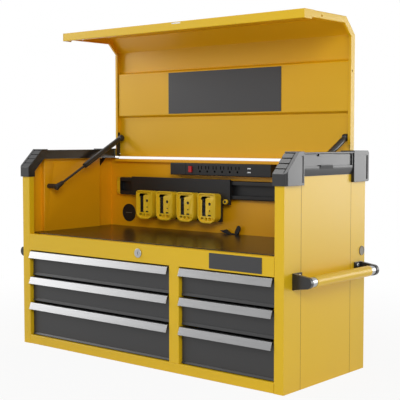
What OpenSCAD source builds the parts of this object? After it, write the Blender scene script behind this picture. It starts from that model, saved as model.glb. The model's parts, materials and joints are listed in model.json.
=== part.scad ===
// Steel tool chest: lift-up lid, two banks of three drawers, a bar handle at each end,
// and a power strip and a sliding row of battery holders inside the top.
// +X is right when facing the front, +Y is back, +Z is up. The origin is under the middle
// of the cabinet. Drawn at rest: lid open, drawers shut. All sizes in mm.

/* [Cabinet] */
// Width over the side panels
cab_w = 1041; // [960:1:1200]
// Depth over the front and back faces
cab_d = 406; // [396:1:450]
// Sheet steel thickness
sheet = 1.2; // [0.8:0.1:1.6]
// Front width of a corner post
post_w = 31.5; // [28:0.5:38]
// Depth of the return behind a post's front face
post_return = 20; // [18:1:26]
// Depth of the return at the back of the drawer bays
rear_return = 30; // [22:1:40]
// Reach of a post along the side of the cabinet
post_side = 78; // [72:1:86]
// Height of the rail below the drawers
rail_h = 29; // [20:1:40]
// Depth of the rail's top flange
rail_flange = 10; // [6:1:11]
// Height of the fascia above the drawers
fascia_h = 52.5; // [48:0.5:70]
// Tray floor below the top of the fascia
tray_drop = 1; // [0.5:0.5:1.5]
// Depth of the fascia's lower flange
fascia_flange = 26; // [14:1:40]
// Height of the side walls above the fascia
wall_rise = 269; // [255:1:300]
// Width of the folded steel rail along the top of each side
top_rail_w = 32; // [30:0.5:33]
// Drop of that rail's inner edge
top_rail_drop = 28; // [20:1:40]
// Height of the fold along the top of the back
back_hem_h = 9.5; // [6:0.5:14]
// Depth of the fold along the top of the back
back_hem_d = 15; // [10:1:20]
// Back wall's top, below the top of the side walls
back_drop = 30; // [28:1:40]
// Gap around the tray mat
mat_gap = 2; // [1:0.5:4]
// Thickness of the tray mat
mat_t = 3; // [2:0.5:3]

/* [Drawers] */
// Front height of the top and middle drawers
shallow_h = 77; // [70:1:95]
// Front height of the bottom drawers
deep_h = 106.5; // [80:0.5:140]
// Gap between drawers
row_gap = 7; // [4:0.5:10]
// Gap above the top drawers
top_gap = 3.5; // [2:0.5:6]
// Gap below the bottom drawers
bottom_gap = 1.5; // [1:0.5:4]
// Width of the right bay
right_bay_w = 331.5; // [290:0.5:380]
// Width of the centre post
centre_w = 37.5; // [30:0.5:50]
// Recess of the drawer fronts behind the posts
front_recess = 13; // [12:0.5:14]
// Side gap of a drawer front
front_gap = 2; // [1:0.5:3]
// Clear space behind the drawers
drawer_back_gap = 30; // [20:1:60]
// Box floor above the bottom of the front
box_lift = 4; // [2:0.5:8]
// Box rim below the top of the front
box_drop = 12; // [8:1:20]
// Height of the sloping fold along the bottom of a front
front_hem_h = 6; // [4:0.5:8]
// Thickness of that fold
front_hem_t = 3; // [2:0.5:4]

/* [Pulls] */
// Height of a pull
pull_h = 22; // [18:1:26]
// Thickness of a pull's wall
pull_t = 2; // [1.5:0.5:3]
// Reach of a pull's top edge in front of the posts
pull_out = 1; // [0:0.5:3]
// Further reach of its bottom edge
pull_slant = 8; // [4:1:12]
// Gap from a pull's left end to the bay
pull_gap_left = 3.5; // [3:0.5:6]
// Gap from a pull's right end to the bay
pull_gap_right = 4.5; // [3:0.5:6]

/* [Slides] */
// Width of a drawer slide
slide_w = 12.7; // [12:0.1:14]
// Height of a drawer slide
slide_h = 36; // [32:1:40]
// Thickness of the slide members
slide_t = 1.2; // [1:0.1:1.5]
// Running gap between slide members
slide_gap = 0.4; // [0.3:0.05:0.6]
// Slides above the floor of the drawer box
slide_up = 6; // [4:0.5:10]
// Setback of the slides behind the drawer fronts
slide_setback = 1.8; // [1:0.1:2.5]
// How much shorter the middle members are
slide_short = 22; // [10:1:60]

/* [Caps and trims] */
// Reach of the caps beyond the cabinet's sides
cap_side = 9.5; // [8:0.5:14]
// Reach of the caps in front of the posts
cap_front = 5; // [4:0.5:8]
// Reach of the caps and trims inside the posts
cap_in = 4; // [3:0.5:5]
// Cap bottom, below the top of the side walls
cap_drop = 83; // [76:1:90]
// Cap top, above the top of the side walls
cap_rise = 6; // [4:0.5:10]
// Height of a front cap's upright face
cap_upright = 31; // [29:1:36]
// Depth of a front cap's sloping face
cap_slope = 51; // [44:1:60]
// Grooves across the sloping face
groove_n = 4; // [2:1:4]
// Spacing of the grooves
groove_pitch = 18; // [14:0.5:18]
// Width of a groove
groove_w = 3; // [2:0.5:5]
// Depth of a groove
groove_d = 3; // [1.5:0.5:3.5]
// Plain border beside the grooves
groove_border = 9; // [6:0.5:14]
// Depth of a front cap's foot inside the post
cap_foot = 2; // [1:0.5:4]
// Height of that foot
cap_foot_h = 18; // [12:1:20]
// Wall thickness of the caps
cap_wall = 3; // [2.5:0.5:3.5]
// Fit between plastic covers and steel
cover_fit = 0.3; // [0.2:0.1:0.5]
// Depth of a post's front face inside its cap
post_tuck = 26; // [20:1:26]
// Height of the gusset in each rear cap's corner
gusset_h = 28; // [16:1:34]
// Depth of a trim's inner face
trim_in_h = 29; // [24:1:34]
// Depth of a trim's outer face
trim_out_h = 63; // [56:1:70]
// Height of a trim's bevelled lower edge
trim_bevel = 17; // [10:1:24]
// Thickness of a trim at its lower edge
trim_foot = 2; // [1.5:0.5:3]
// Height of a trim's lip
trim_lip_h = 3; // [2:0.5:5]
// Thickness of a trim's top
trim_t = 3; // [2:0.5:3.5]
// Reach of a trim beyond the side
trim_side = 6.5; // [5:0.5:7.5]
// Reach of a trim's lip beyond its outer face
trim_lip = 2; // [1:0.5:2]

/* [Handles] */
// Middle of the handles behind the middle of the cabinet
handle_y = 9; // [0:1:14]
// Height of the bars
handle_z = 295; // [240:1:320]
// Bar axis out from the side
handle_out = 44.5; // [42:0.5:60]
// End brackets inside the front and back faces
handle_inset = 40; // [36:1:50]
// Bar diameter
bar_d = 30; // [28:1:34]
// Wall of the bar
bar_wall = 2; // [1.5:0.5:3]
// Collar diameter
collar_d = 27; // [27:0.5:28]
// Collar length between bracket and bar
collar_l = 23.5; // [14:0.5:34]
// Length of the collar's spigot inside the bar
spigot_l = 20; // [10:1:40]
// Thickness of an end bracket
bracket_t = 12; // [10:1:18]
// Root height of an end bracket
bracket_h = 44; // [40:1:60]
// Radius of an end bracket's rounded end
bracket_r = 15.5; // [15:0.5:19]
// Length of a bracket's foot
foot_l = 28; // [20:1:34]
// Thickness of a bracket's foot
foot_t = 5; // [4:0.5:7]
// Bracket screws inside the top and bottom of the foot
screw_in = 8; // [6:0.5:10]
// Diameter of the bracket screws' heads
screw_d = 10; // [8:0.5:12]
// Height of the bracket screws' heads
screw_h = 2.5; // [2:0.5:4]

/* [Lock] */
// Diameter of the lock's face
lock_d = 24; // [22:0.5:28]
// Diameter of its barrel
barrel_d = 19; // [16:0.5:20]
// Reach of the lock's face in front of the fascia
lock_out = 3; // [2:0.5:4]
// Thickness of the cam
cam_t = 2; // [1.5:0.5:3]
// Keyway width
keyway_w = 2; // [1:0.5:2.5]
// Keyway height
keyway_h = 8; // [6:0.5:9]
// Diameter of the key plug
plug_d = 13; // [10:0.5:14]
// Length of the barrel
barrel_l = 20; // [14:1:24]
// Length of the cam
cam_l = 18; // [14:0.5:19]

/* [Plates] */
// Width of the fascia plate
fascia_plate_w = 180; // [120:1:220]
// Height of the fascia plate
fascia_plate_h = 43; // [30:1:46]
// Gap from the fascia plate to the right post
fascia_plate_gap = 39; // [10:1:80]
// Width of the lid plate
lid_plate_w = 463; // [300:1:600]
// Height of the lid plate
lid_plate_h = 137; // [90:1:140]
// Plate thickness
plate_t = 1.5; // [1:0.1:2.5]

/* [Lid] */
// Hinge axis in front of the back face
hinge_in = 6.5; // [5:0.5:8]
// Hinge axis below the top of the side walls
hinge_drop = 12.5; // [11:0.5:13]
// Skin behind the hinge axis
lid_skin = 9.5; // [9:0.5:11]
// Lower edge below the hinge axis
lid_tail = 8.7; // [8:0.1:9.5]
// Shut lid in front of the posts
lid_proud = 2.5; // [1:0.5:4]
// Shut lid above the fascia
lid_gap = 3; // [3:0.5:6]
// Gap from the lid to each post's opening
lid_side_gap = 9; // [8:0.5:12]
// Bevel between the lid's top and front
lid_bevel = 47.5; // [30:0.5:60]
// Depth of the lid's side flanges
lid_flange = 20; // [18:1:22]
// Width of the fold along each side flange's edge
flange_fold = 9; // [6:0.5:9]
// Depth of the lid's front lip
lid_lip = 25; // [22:1:34]
// Depth of the fold along the lip
lip_fold = 9; // [5:1:14]
// Lower edge of the raised band, above the hinge axis
band_lo = 127; // [110:1:160]
// Upper edge of the raised band, above the hinge axis
band_hi = 283.5; // [276:0.5:310]
// Rise of the band
band_rise = 14.3; // [8:0.1:15]
// Slope length at the band's edges
band_slope = 5.5; // [3:0.5:8]
// Width of the band's welded edges
band_edge = 10; // [6:1:16]
// Gap from the band's ends to the lid's side flanges
band_gap = 10.8; // [6:0.1:20]

/* [Struts] */
// Diameter of a wall bracket's flange
strut_flange_d = 22; // [20:1:32]
// Thickness of a wall bracket's flange
strut_flange_t = 3; // [2:0.5:4]
// Strut plane inside the lid's sides
strut_in = 20; // [19:0.5:24]
// Wall pivot behind the front post's edge
strut_wall_in = 19; // [18:1:26]
// Wall pivot below the top of the side walls
strut_wall_drop = 117; // [110:1:130]
// Lid pivot in front of the hinge axis
strut_lid_in = 5; // [5:0.5:8]
// Lid pivot above the hinge axis
strut_lid_up = 55.5; // [50:0.5:60]
// Tube diameter
tube_d = 18; // [15:0.5:18]
// Tube length
tube_l = 187; // [170:1:195]
// Rod diameter
rod_d = 8; // [6:0.5:9]
// Length of the tube's closed front end
gland_l = 12; // [8:1:16]
// Wall of the tube
tube_wall = 2; // [1.5:0.5:3]
// Neck between the tube and its lid end
tube_neck = 4; // [3:0.5:8]
// Rod length inside the tube
rod_in = 60; // [40:1:80]
// Strut pivot diameter
stud_d = 8; // [6:0.5:9]
// Strut eye diameter
eye_d = 16; // [14:0.5:17]
// Thickness of a rod's eye
eye_t = 10; // [8:0.5:12]
// Radial running fit of the pins
pin_fit = 0.05; // [0.03:0.01:0.08]
// Hinge pin diameter
hinge_pin_d = 8; // [6:0.5:8]
// Thickness of the hinge plates
hinge_plate_t = 2.5; // [2:0.5:3.5]
// Height of a lid bracket
lid_bracket_h = 84; // [76:1:100]
// Thickness of a lid bracket
lid_bracket_t = 2; // [1.5:0.5:3]
// Reach of the hinge plates in front of the hinge axis
hinge_plate_in = 12; // [8:0.5:14]

/* [Power strip] */
// Length
strip_l = 414; // [380:1:500]
// Height
strip_h = 40; // [36:1:46]
// Depth
strip_d = 31; // [28:1:36]
// Housing wall
strip_wall = 3; // [2:0.5:4]
// Outlet count
outlet_n = 6; // [4:1:6]
// Outlet spacing
outlet_pitch = 31; // [28:0.5:32]
// Spacing of an outlet's two slits
pin_pitch = 12.7; // [11:0.1:14]
// Width of an outlet's slits
pin_w = 2; // [1.5:0.5:3]
// Height of an outlet's slits
pin_h = 8; // [6:0.5:9]
// Slits above the strip's middle, and round hole below it
pin_up = 5; // [4.5:0.5:6]
// Diameter of an outlet's round hole
ground_d = 5; // [4:0.5:6]
// Depth of the slits, round holes and ports
outlet_deep = 1.5; // [1:0.5:1.8]
// USB ports right of the middle
usb_x = 124; // [110:1:160]
// USB port width
usb_w = 13; // [12:0.5:15]
// USB port height
usb_h = 5; // [4:0.5:6]
// USB port spacing
usb_pitch = 12; // [9:0.5:14]
// Rocker switch left of the middle
rocker_x = 118; // [114:1:130]
// Rocker width
rocker_w = 13; // [10:0.5:15]
// Rocker height
rocker_h = 20; // [16:1:24]
// Rocker thickness
rocker_t = 10; // [8:0.5:12]
// Rocker's reach in front of the strip
rocker_out = 4; // [3:0.5:5]
// Diameter of the rocker's cross pin
rocker_pin_d = 4; // [3:0.5:5]
// Length of the cross pin at each end
rocker_pin_l = 4; // [3:0.5:6]
// Clear space around the rocker
rocker_gap = 1; // [0.8:0.1:1.5]

/* [Holder rail] */
// Gap from the rail's ends to the cabinet's sides
rail_end = 62.5; // [56:0.5:80]
// Width of the pad on the back wall at each end of the rail
pad_w = 22; // [16:1:28]
// Thickness of that pad
pad_t = 6; // [4:0.5:8]
// Rail height
rail_tall = 60; // [56:1:66]
// Thickness of the plates that close the rail's ends
rail_stop = 2.5; // [2:0.5:3]
// Rail depth
rail_d = 18; // [16:0.5:20]
// Rail wall
rail_wall = 3; // [2.5:0.5:3.5]
// Height of the rail's hooked edges
rail_hook = 10; // [8:0.5:12]
// Rail bottom above the fascia
rail_up = 114; // [108:1:130]
// Carriage plate length
carriage_l = 437; // [426:1:460]
// Left end of the carriage from the rail's left end
carriage_x = 64; // [50:1:120]
// Carriage plate thickness
carriage_t = 7; // [6:0.5:9]
// Carriage plate above the rail
carriage_over = 4; // [2:0.5:6]
// Width of the carriage's knob tab
tab_w = 38; // [30:1:44]
// Drop of that tab below the rail
tab_drop = 17; // [16:1:22]
// Holder back plate inside the holder's edges
holder_back_in = 4; // [2:0.5:6]
// Holder back plate beyond the holder's right edge
holder_back_out = 2; // [1:0.5:4]
// Running gap in the rail
rail_gap = 0.4; // [0.3:0.05:0.6]
// Holder count
holder_n = 4; // [3:1:4]
// Holder spacing
holder_pitch = 92; // [84:1:96]
// First holder's middle from the carriage's left end
holder_first = 88; // [80:1:92]
// Holder width
holder_w = 75; // [64:1:78]
// Holder height
holder_h = 97; // [90:1:104]
// Holder depth
holder_d = 31; // [26:1:36]
// Holder corner radius
holder_r = 13; // [8:0.5:18]
// Holder top above the rail's bottom
holder_up = 19.5; // [16:0.5:24]
// Width of the holder's slot
holder_slot_w = 16; // [12:1:20]
// Height of the holder's slot
holder_slot_h = 56; // [44:1:64]
// Depth of the holder's slot
holder_slot_d = 18; // [12:1:22]
// Knob's middle inside the carriage's right end
knob_in = 14; // [12:0.5:20]
// Knob's middle below the rail
knob_drop = 7; // [5:0.5:9]
// Knob diameter
knob_d = 16; // [14:0.5:17]
// Knob thickness
knob_t = 9; // [7:0.5:12]
// Knob shank diameter
knob_pin_d = 6; // [5:0.5:7]

/* [Small parts] */
// Back grommet diameter
grommet_d = 62; // [50:1:66]
// Back grommet's middle inside the left post
grommet_in = 59; // [50:1:70]
// Back grommet above the fascia
grommet_up = 49; // [40:1:60]
// Grommet rim beyond its hole
grommet_rim = 4; // [3:0.5:6]
// Grommet rim thickness
grommet_t = 3; // [2:0.5:4]
// Slit width
slit_w = 5; // [4.5:0.5:7]
// Slit length
slit_l = 42; // [30:1:44]
// Side plug diameter
plug_cap_d = 27; // [22:1:30]
// Side plug in front of the back face
plug_cap_in = 17; // [15:1:24]
// Side plug below the fascia's top
plug_cap_drop = 14; // [14:1:40]
// Cord cleat base length
cleat_l = 62; // [50:1:70]
// Cord cleat base depth
cleat_d = 18; // [14:1:22]
// Cord cleat's right horn height
cleat_h = 25; // [20:1:32]
// Cord cleat right of the middle
cleat_x = 38; // [20:1:60]

/* [Hidden] */
$fn = 64;
over = 1;
half_w = cab_w / 2;
half_d = cab_d / 2;
inner_x = half_w - sheet;
inner_y = half_d - sheet;
open_x = half_w - post_w;
seam_y = half_d - post_side;
centre_hi = open_x - right_bay_w;
centre_lo = centre_hi - centre_w;
low_z = rail_h + bottom_gap;
fascia_z = low_z + deep_h + 2 * row_gap + 2 * shallow_h + top_gap;
deck_z = fascia_z + fascia_h;
tray_z = deck_z - tray_drop;
side_top = deck_z + wall_rise;
back_top = side_top - back_drop;
cap_z = side_top - cap_drop;
cap_top = side_top + cap_rise;
post_top = cap_z + post_tuck;
cap_x0 = open_x - cap_in;
cap_x1 = half_w + cap_side;
cap_y = seam_y + cover_fit;
cap_y0 = -half_d - cap_front;
slope_z = cap_z + cap_upright;
slope_a = atan2(cap_top - slope_z, cap_slope);
trim_z = side_top + trim_t - trim_in_h;
rail_x = half_w - top_rail_w;
front_y = front_recess - half_d;
box_back = half_d - drawer_back_gap;
slide_y0 = front_y + sheet + slide_setback;
slide_y1 = box_back;
mid_slide_h = slide_h - 2 * slide_t - 2 * slide_gap;
in_slide_h = mid_slide_h - 2 * slide_t - 2 * slide_gap;
lock_z = fascia_z + fascia_h / 2;
hinge_y = half_d - hinge_in;
hinge_z = side_top - hinge_drop;
lid_x = open_x - lid_side_gap;
lid_in = lid_x - sheet;
lid_back = hinge_y + lid_skin;
lid_low = hinge_z - lid_tail;
lid_top = hinge_z + hinge_y + half_d + lid_proud;
lid_front = hinge_y - (hinge_z - deck_z - lid_gap);
band_y = lid_back - sheet - band_rise;
band_z = hinge_z + (band_lo + band_hi) / 2;
bracket_x = lid_in - lid_bracket_t;
strut_x = lid_x - strut_in;
wall_y = strut_wall_in - seam_y;
wall_z = side_top - strut_wall_drop;
stud_y = hinge_y - strut_lid_in;
stud_z = hinge_z + strut_lid_up;
strut_l = norm([stud_y - wall_y, stud_z - wall_z]);
strut_a = atan2(stud_z - wall_z, stud_y - wall_y);
tube_end = strut_l - eye_d / 2 - tube_neck;
eye_out = strut_x + tube_d / 2 + cover_fit;
strip_z = back_top - back_hem_h - strip_h - cover_fit;
strip_y = inner_y - strip_d;
strip_mid = strip_z + strip_h / 2;
rail_l = cab_w - 2 * rail_end;
rail_z = deck_z + rail_up;
rail_y = inner_y - rail_d;
carriage_lo = carriage_x - rail_l / 2;
carriage_hi = carriage_lo + carriage_l;
carriage_y = rail_y - rail_gap - carriage_t;
holder_top = rail_z + holder_up;
knob_z = rail_z - knob_drop;
knob_x = carriage_hi - knob_in;
handle_half = half_d - handle_inset;
bar_half = handle_half - collar_l;
handle_x = half_w + handle_out;
grommet_x = open_x - grommet_in;
grommet_z = deck_z + grommet_up;
plug_y = half_d - plug_cap_in;
plug_z = deck_z - plug_cap_drop;
banks = ["left", "right"];
rows = ["top", "middle", "bottom"];
kinds = ["drawer", "pull", "slide_inner", "slide_middle"];

// Left and right edges of a drawer bay
function bay_lo(b) = b == "left" ? -open_x : centre_hi;
function bay_hi(b) = b == "left" ? centre_lo : open_x;
// Height and bottom of a drawer front
function front_h(r) = r == "bottom" ? deep_h : shallow_h;
function front_z(r) =
    r == "bottom" ? low_z :
    r == "middle" ? low_z + deep_h + row_gap :
    low_z + deep_h + shallow_h + 2 * row_gap;
// Middle height of a drawer's slides
function slide_z(r) = front_z(r) + box_lift + slide_h / 2 + slide_up;

// A block from one corner to the opposite corner
module block(lo, hi) {
    translate(lo) cube(hi - lo);
}

// A shape and its mirror image on the left
module both_sides() {
    children();
    mirror([1, 0, 0]) children();
}

// A flat shape drawn in Y and Z, run along X
module along_x(x0, x1) {
    translate([x0, 0, 0]) rotate([90, 0, 90]) linear_extrude(x1 - x0) children();
}

// A flat shape drawn in X and Z, run along Y
module along_y(y0, y1) {
    translate([0, y1, 0]) rotate([90, 0, 0]) linear_extrude(y1 - y0) children();
}

// A round bar along X
module bar_x(x0, x1, y, z, d) {
    translate([x0, y, z]) rotate([0, 90, 0]) cylinder(h = x1 - x0, d = d);
}

// A round bar along Y
module bar_y(y0, y1, x, z, d) {
    translate([x, y1, z]) rotate([90, 0, 0]) cylinder(h = y1 - y0, d = d);
}

// A C-shaped slide member with its web at x0 and flanges reaching x1
module channel(x0, x1, z, h, y0, y1) {
    s = sign(x1 - x0);
    along_y(y0, y1) polygon([
        [x0, z - h / 2], [x1, z - h / 2], [x1, z - h / 2 + slide_t],
        [x0 + s * slide_t, z - h / 2 + slide_t], [x0 + s * slide_t, z + h / 2 - slide_t],
        [x1, z + h / 2 - slide_t], [x1, z + h / 2], [x0, z + h / 2]]);
}

// A slide member at both sides of a bay
module slide_pair(b) {
    translate([bay_lo(b), 0, 0]) children();
    translate([bay_hi(b), 0, 0]) mirror([1, 0, 0]) children();
}

// A strut part drawn along +Y from the wall pivot, turned to the strut's rest angle
module strut_frame() {
    translate([0, wall_y, wall_z]) rotate([strut_a, 0, 0]) children();
}

module side_panels() color("goldenrod") both_sides() {
    block([inner_x, -seam_y, 0], [half_w, seam_y, side_top]);
    block([rail_x, -seam_y, side_top - sheet], [half_w, seam_y, side_top]);
    block([rail_x, -seam_y, side_top - top_rail_drop], [rail_x + sheet, seam_y, side_top]);
}

module back_panel() color("goldenrod") difference() {
    union() {
        block([-open_x, inner_y, 0], [open_x, half_d, back_top]);
        block([-cap_x0, inner_y - back_hem_d, back_top - sheet], [cap_x0, half_d, back_top]);
        block([-cap_x0, inner_y - back_hem_d, back_top - back_hem_h],
              [cap_x0, inner_y - back_hem_d + sheet, back_top]);
        both_sides() block([rail_l / 2, inner_y - pad_t, rail_z],
                           [rail_l / 2 + pad_w, inner_y, rail_z + rail_tall]);
    }
    bar_y(inner_y - over, half_d + over, -grommet_x, grommet_z, grommet_d - 2 * grommet_rim);
}

module base_pan() color("goldenrod") {
    block([-open_x, -inner_y, 0], [open_x, inner_y, sheet]);
    block([-inner_x, -seam_y, 0], [inner_x, seam_y, sheet]);
    block([-open_x, -half_d, 0], [open_x, -inner_y, rail_h]);
    block([-open_x, -half_d, rail_h - sheet], [open_x, -inner_y + rail_flange, rail_h]);
}

// Front post, whose side wall follows the slope of the cap that covers it
module front_posts() color("goldenrod") both_sides() {
    z1 = cap_top - 2 * cap_wall - cover_fit;
    y1 = -cap_y - cap_wall - cover_fit;
    block([open_x, -half_d, 0], [half_w, -inner_y, post_top]);
    block([open_x, -half_d, 0], [open_x + sheet, post_return - half_d, post_top]);
    along_x(inner_x, half_w) polygon([
        [-half_d, 0], [-half_d, post_top], [cap_slope - half_d, z1], [y1, z1],
        [y1, trim_z - cover_fit], [-seam_y, trim_z - cover_fit], [-seam_y, 0]]);
}

module rear_posts() color("goldenrod") both_sides() difference() {
    z1 = cap_top - cap_wall - cover_fit;
    y1 = cap_y + cap_wall + cover_fit;
    union() {
        block([open_x, inner_y, 0], [half_w, half_d, z1]);
        block([open_x, half_d - rear_return, 0], [open_x + sheet, half_d, tray_z - sheet]);
        block([inner_x, seam_y, 0], [half_w, half_d, trim_z - cover_fit]);
        block([inner_x, y1, 0], [half_w, half_d, z1]);
    }
    bar_x(inner_x - over, half_w + over, plug_y, plug_z, plug_cap_d - 2 * grommet_rim);
}

// Centre post with the two walls behind it that carry the slides
module centre_partition() color("goldenrod") {
    block([centre_lo, -half_d, rail_h], [centre_hi, -inner_y, fascia_z]);
    for (x = [centre_lo, centre_hi - sheet])
        along_x(x, x + sheet) polygon([
            [-half_d, rail_h], [-half_d, fascia_z], [-inner_y + fascia_flange, fascia_z],
            [-inner_y + fascia_flange, tray_z - sheet], [inner_y, tray_z - sheet],
            [inner_y, sheet], [-inner_y + rail_flange, sheet], [-inner_y + rail_flange, rail_h]]);
}

module fascia() color("goldenrod") difference() {
    union() {
        block([-open_x, -half_d, fascia_z], [open_x, -inner_y, deck_z]);
        block([-open_x, -half_d, deck_z - sheet], [open_x, post_return - half_d, deck_z]);
        block([-open_x, -half_d, fascia_z], [open_x, -inner_y + fascia_flange, fascia_z + sheet]);
    }
    bar_y(-half_d - over, -inner_y + over, 0, lock_z, barrel_d + 2 * pin_fit);
}

module tray_floor() color("goldenrod")
    block([-inner_x, post_return - half_d, tray_z - sheet], [inner_x, inner_y, tray_z]);

module tray_mat() color("dimgray")
    block([mat_gap - inner_x, post_return - half_d + 2 * mat_gap, tray_z],
          [inner_x - mat_gap, inner_y - mat_gap, tray_z + mat_t]);

// Outline of a front cap seen from the side
cap_line = [
    [-cap_y, cap_z], [cap_y0, cap_z], [cap_y0, slope_z], [cap_y0 + cap_slope, cap_top], [-cap_y, cap_top]];

module front_caps() color("dimgray") both_sides() difference() {
    y0 = -half_d - cover_fit;
    y1 = post_return - half_d + cap_foot;
    along_x(cap_x0, cap_x1) polygon(cap_line);
    along_x(open_x - cover_fit, half_w + cover_fit) polygon([
        [y0, cap_z - over], [y0, post_top + cover_fit], [y0 + cap_slope, cap_top - 2 * cap_wall],
        [-cap_y - cap_wall, cap_top - 2 * cap_wall], [-cap_y - cap_wall, trim_z],
        [over - cap_y, trim_z], [over - cap_y, cap_z - over]]);
    along_x(cap_x0 - over, open_x) polygon([
        [y1, cap_z - over], [y1, cap_z + cap_foot_h], [y1 + trim_z - cap_z - cap_foot_h, trim_z],
        [over - cap_y, trim_z], [over - cap_y, cap_z - over]]);
    translate([0, cap_y0, slope_z]) rotate([slope_a, 0, 0]) for (i = [1 : groove_n])
        block([cap_x0 - over, i * groove_pitch - groove_w / 2, -groove_d],
              [cap_x1 - groove_border, i * groove_pitch + groove_w / 2, groove_d]);
}

// Rear cap, with a gusset in the corner where it meets the back wall
module rear_caps() color("dimgray") both_sides() {
    y1 = inner_y - cover_fit;
    difference() {
        block([cap_x0, cap_y, cap_z], [cap_x1, half_d + cap_front, cap_top]);
        block([open_x - cover_fit, cap_y + cap_wall, cap_z - over],
              [half_w + cover_fit, half_d + cover_fit, cap_top - cap_wall]);
        block([open_x - cover_fit, cap_y - over, cap_z - over],
              [half_w + cover_fit, half_d, trim_z]);
        block([cap_x0 - over, cap_y - over, cap_z - over],
              [open_x, half_d + cap_front + over, trim_z]);
        bar_x(cap_x0 - over, open_x, hinge_y, hinge_z, hinge_pin_d + 2);
    }
    along_y(y1 - 2 * cap_wall, y1 - cap_wall) polygon([
        [open_x - cap_wall, trim_z + cap_wall], [open_x - cap_wall, trim_z], [open_x, trim_z],
        [inner_x - cover_fit, trim_z - gusset_h], [inner_x - cover_fit, trim_z + cap_wall]]);
}

module side_trims() color("dimgray") both_sides() {
    z0 = side_top + trim_t - trim_out_h;
    z1 = side_top + trim_t;
    x1 = half_w + trim_side;
    along_y(-seam_y, seam_y) polygon([
        [cap_x0, trim_z], [rail_x, trim_z], [rail_x, side_top], [half_w, side_top], [half_w, z0],
        [half_w + trim_foot, z0], [x1, z0 + trim_bevel], [x1, z1 - trim_lip_h - trim_lip],
        [x1 + trim_lip, z1 - trim_lip_h],
        [x1 + trim_lip, z1], [cap_x0, z1]]);
}

module handle_brackets() color("dimgray") both_sides() translate([0, handle_y, 0])
    for (s = [-1, 1]) scale([1, s, 1]) {
        bar_y(handle_half, handle_half + bracket_t, handle_x, handle_z, 2 * bracket_r);
        along_y(handle_half, handle_half + bracket_t) polygon([
            [half_w, handle_z - bracket_h / 2], [handle_x, handle_z - bracket_r],
            [handle_x, handle_z + bracket_r], [half_w, handle_z + bracket_h / 2]]);
        block([half_w, handle_half - foot_l, handle_z - bracket_h / 2],
              [half_w + foot_t, handle_half + bracket_t, handle_z + bracket_h / 2]);
    }

module handle_screws() color("silver") both_sides() translate([0, handle_y, 0])
    for (s = [-1, 1]) for (k = [-1, 1])
        bar_x(half_w + foot_t, half_w + foot_t + screw_h, s * (handle_half - foot_l / 2),
              handle_z + k * (bracket_h / 2 - screw_in), screw_d);

module handle_bars() color("gold") both_sides() translate([0, handle_y, 0]) difference() {
    bar_y(-bar_half, bar_half, handle_x, handle_z, bar_d);
    bar_y(-bar_half - over, bar_half + over, handle_x, handle_z, bar_d - 2 * bar_wall);
}

// Collar between each end bracket and the bar, with a spigot inside the bar
module handle_collars() color("silver") both_sides() translate([0, handle_y, 0])
    for (s = [-1, 1]) scale([1, s, 1]) {
        bar_y(bar_half, handle_half, handle_x, handle_z, collar_d);
        bar_y(bar_half - spigot_l, handle_half, handle_x, handle_z, bar_d - 2 * bar_wall - 2 * pin_fit);
    }

module lock_barrel() color("silver") difference() {
    union() {
        bar_y(-half_d - lock_out, -half_d, 0, lock_z, lock_d);
        bar_y(-half_d - lock_out, barrel_l - half_d, 0, lock_z, barrel_d);
    }
    bar_y(-half_d - lock_out - over, barrel_l - half_d + over, 0, lock_z, plug_d + 2 * pin_fit);
}

// Key plug with its keyway and the cam behind the fascia
module lock_plug() color("silver") difference() {
    y1 = barrel_l - half_d + rail_gap;
    union() {
        bar_y(-half_d - lock_out, y1 + cam_t, 0, lock_z, plug_d);
        block([-plug_d / 2, y1, lock_z - plug_d / 2], [cam_l, y1 + cam_t, lock_z + plug_d / 2]);
    }
    block([-keyway_w / 2, -half_d - lock_out - over, lock_z - keyway_h / 2],
          [keyway_w / 2, lock_out - half_d, lock_z + keyway_h / 2]);
}

module fascia_plate() color("dimgray")
    block([open_x - fascia_plate_gap - fascia_plate_w, -half_d - plate_t, lock_z - fascia_plate_h / 2],
          [open_x - fascia_plate_gap, -half_d, lock_z + fascia_plate_h / 2]);

// Fixed members of every drawer slide
module slide_outers() color("silver") for (b = banks) for (r = rows)
    slide_pair(b) channel(0, slide_w - slide_t - 2 * slide_gap, slide_z(r), slide_h, slide_y0, slide_y1);

module slide_middle(b, r) color("silver") slide_pair(b)
    channel(slide_t + slide_gap, slide_w - slide_t - slide_gap, slide_z(r), mid_slide_h,
            slide_y0, slide_y1 - slide_short);

module slide_inner(b, r) color("silver") slide_pair(b)
    channel(slide_w, 2 * slide_t + 2 * slide_gap, slide_z(r), in_slide_h, slide_y0, slide_y1);

// Drawer box with its welded front
module drawer(b, r) color("dimgray") {
    x0 = bay_lo(b) + slide_w;
    x1 = bay_hi(b) - slide_w;
    z0 = front_z(r);
    z1 = z0 + front_h(r);
    difference() {
        block([x0, front_y, z0 + box_lift], [x1, box_back, z1 - box_drop]);
        block([x0 + sheet, front_y + sheet, z0 + box_lift + sheet],
              [x1 - sheet, box_back - sheet, z1]);
    }
    block([bay_lo(b) + front_gap, front_y, z0], [bay_hi(b) - front_gap, front_y + sheet, z1 - pull_t]);
    along_x(bay_lo(b) + front_gap, bay_hi(b) - front_gap) polygon([
        [front_y, z0], [front_y - front_hem_t, z0], [front_y - front_hem_t, z0 + sheet],
        [front_y, z0 + front_hem_h]]);
}

module pull(b, r) color("silver") {
    z1 = front_z(r) + front_h(r);
    y0 = -half_d - pull_out;
    along_x(bay_lo(b) + pull_gap_left, bay_hi(b) - pull_gap_right) polygon([
        [front_y + sheet, z1], [y0, z1], [y0 - pull_slant, z1 - pull_h],
        [y0 - pull_slant + pull_t, z1 - pull_h], [y0 + pull_t, z1 - pull_t],
        [front_y + sheet, z1 - pull_t]]);
}

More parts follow.
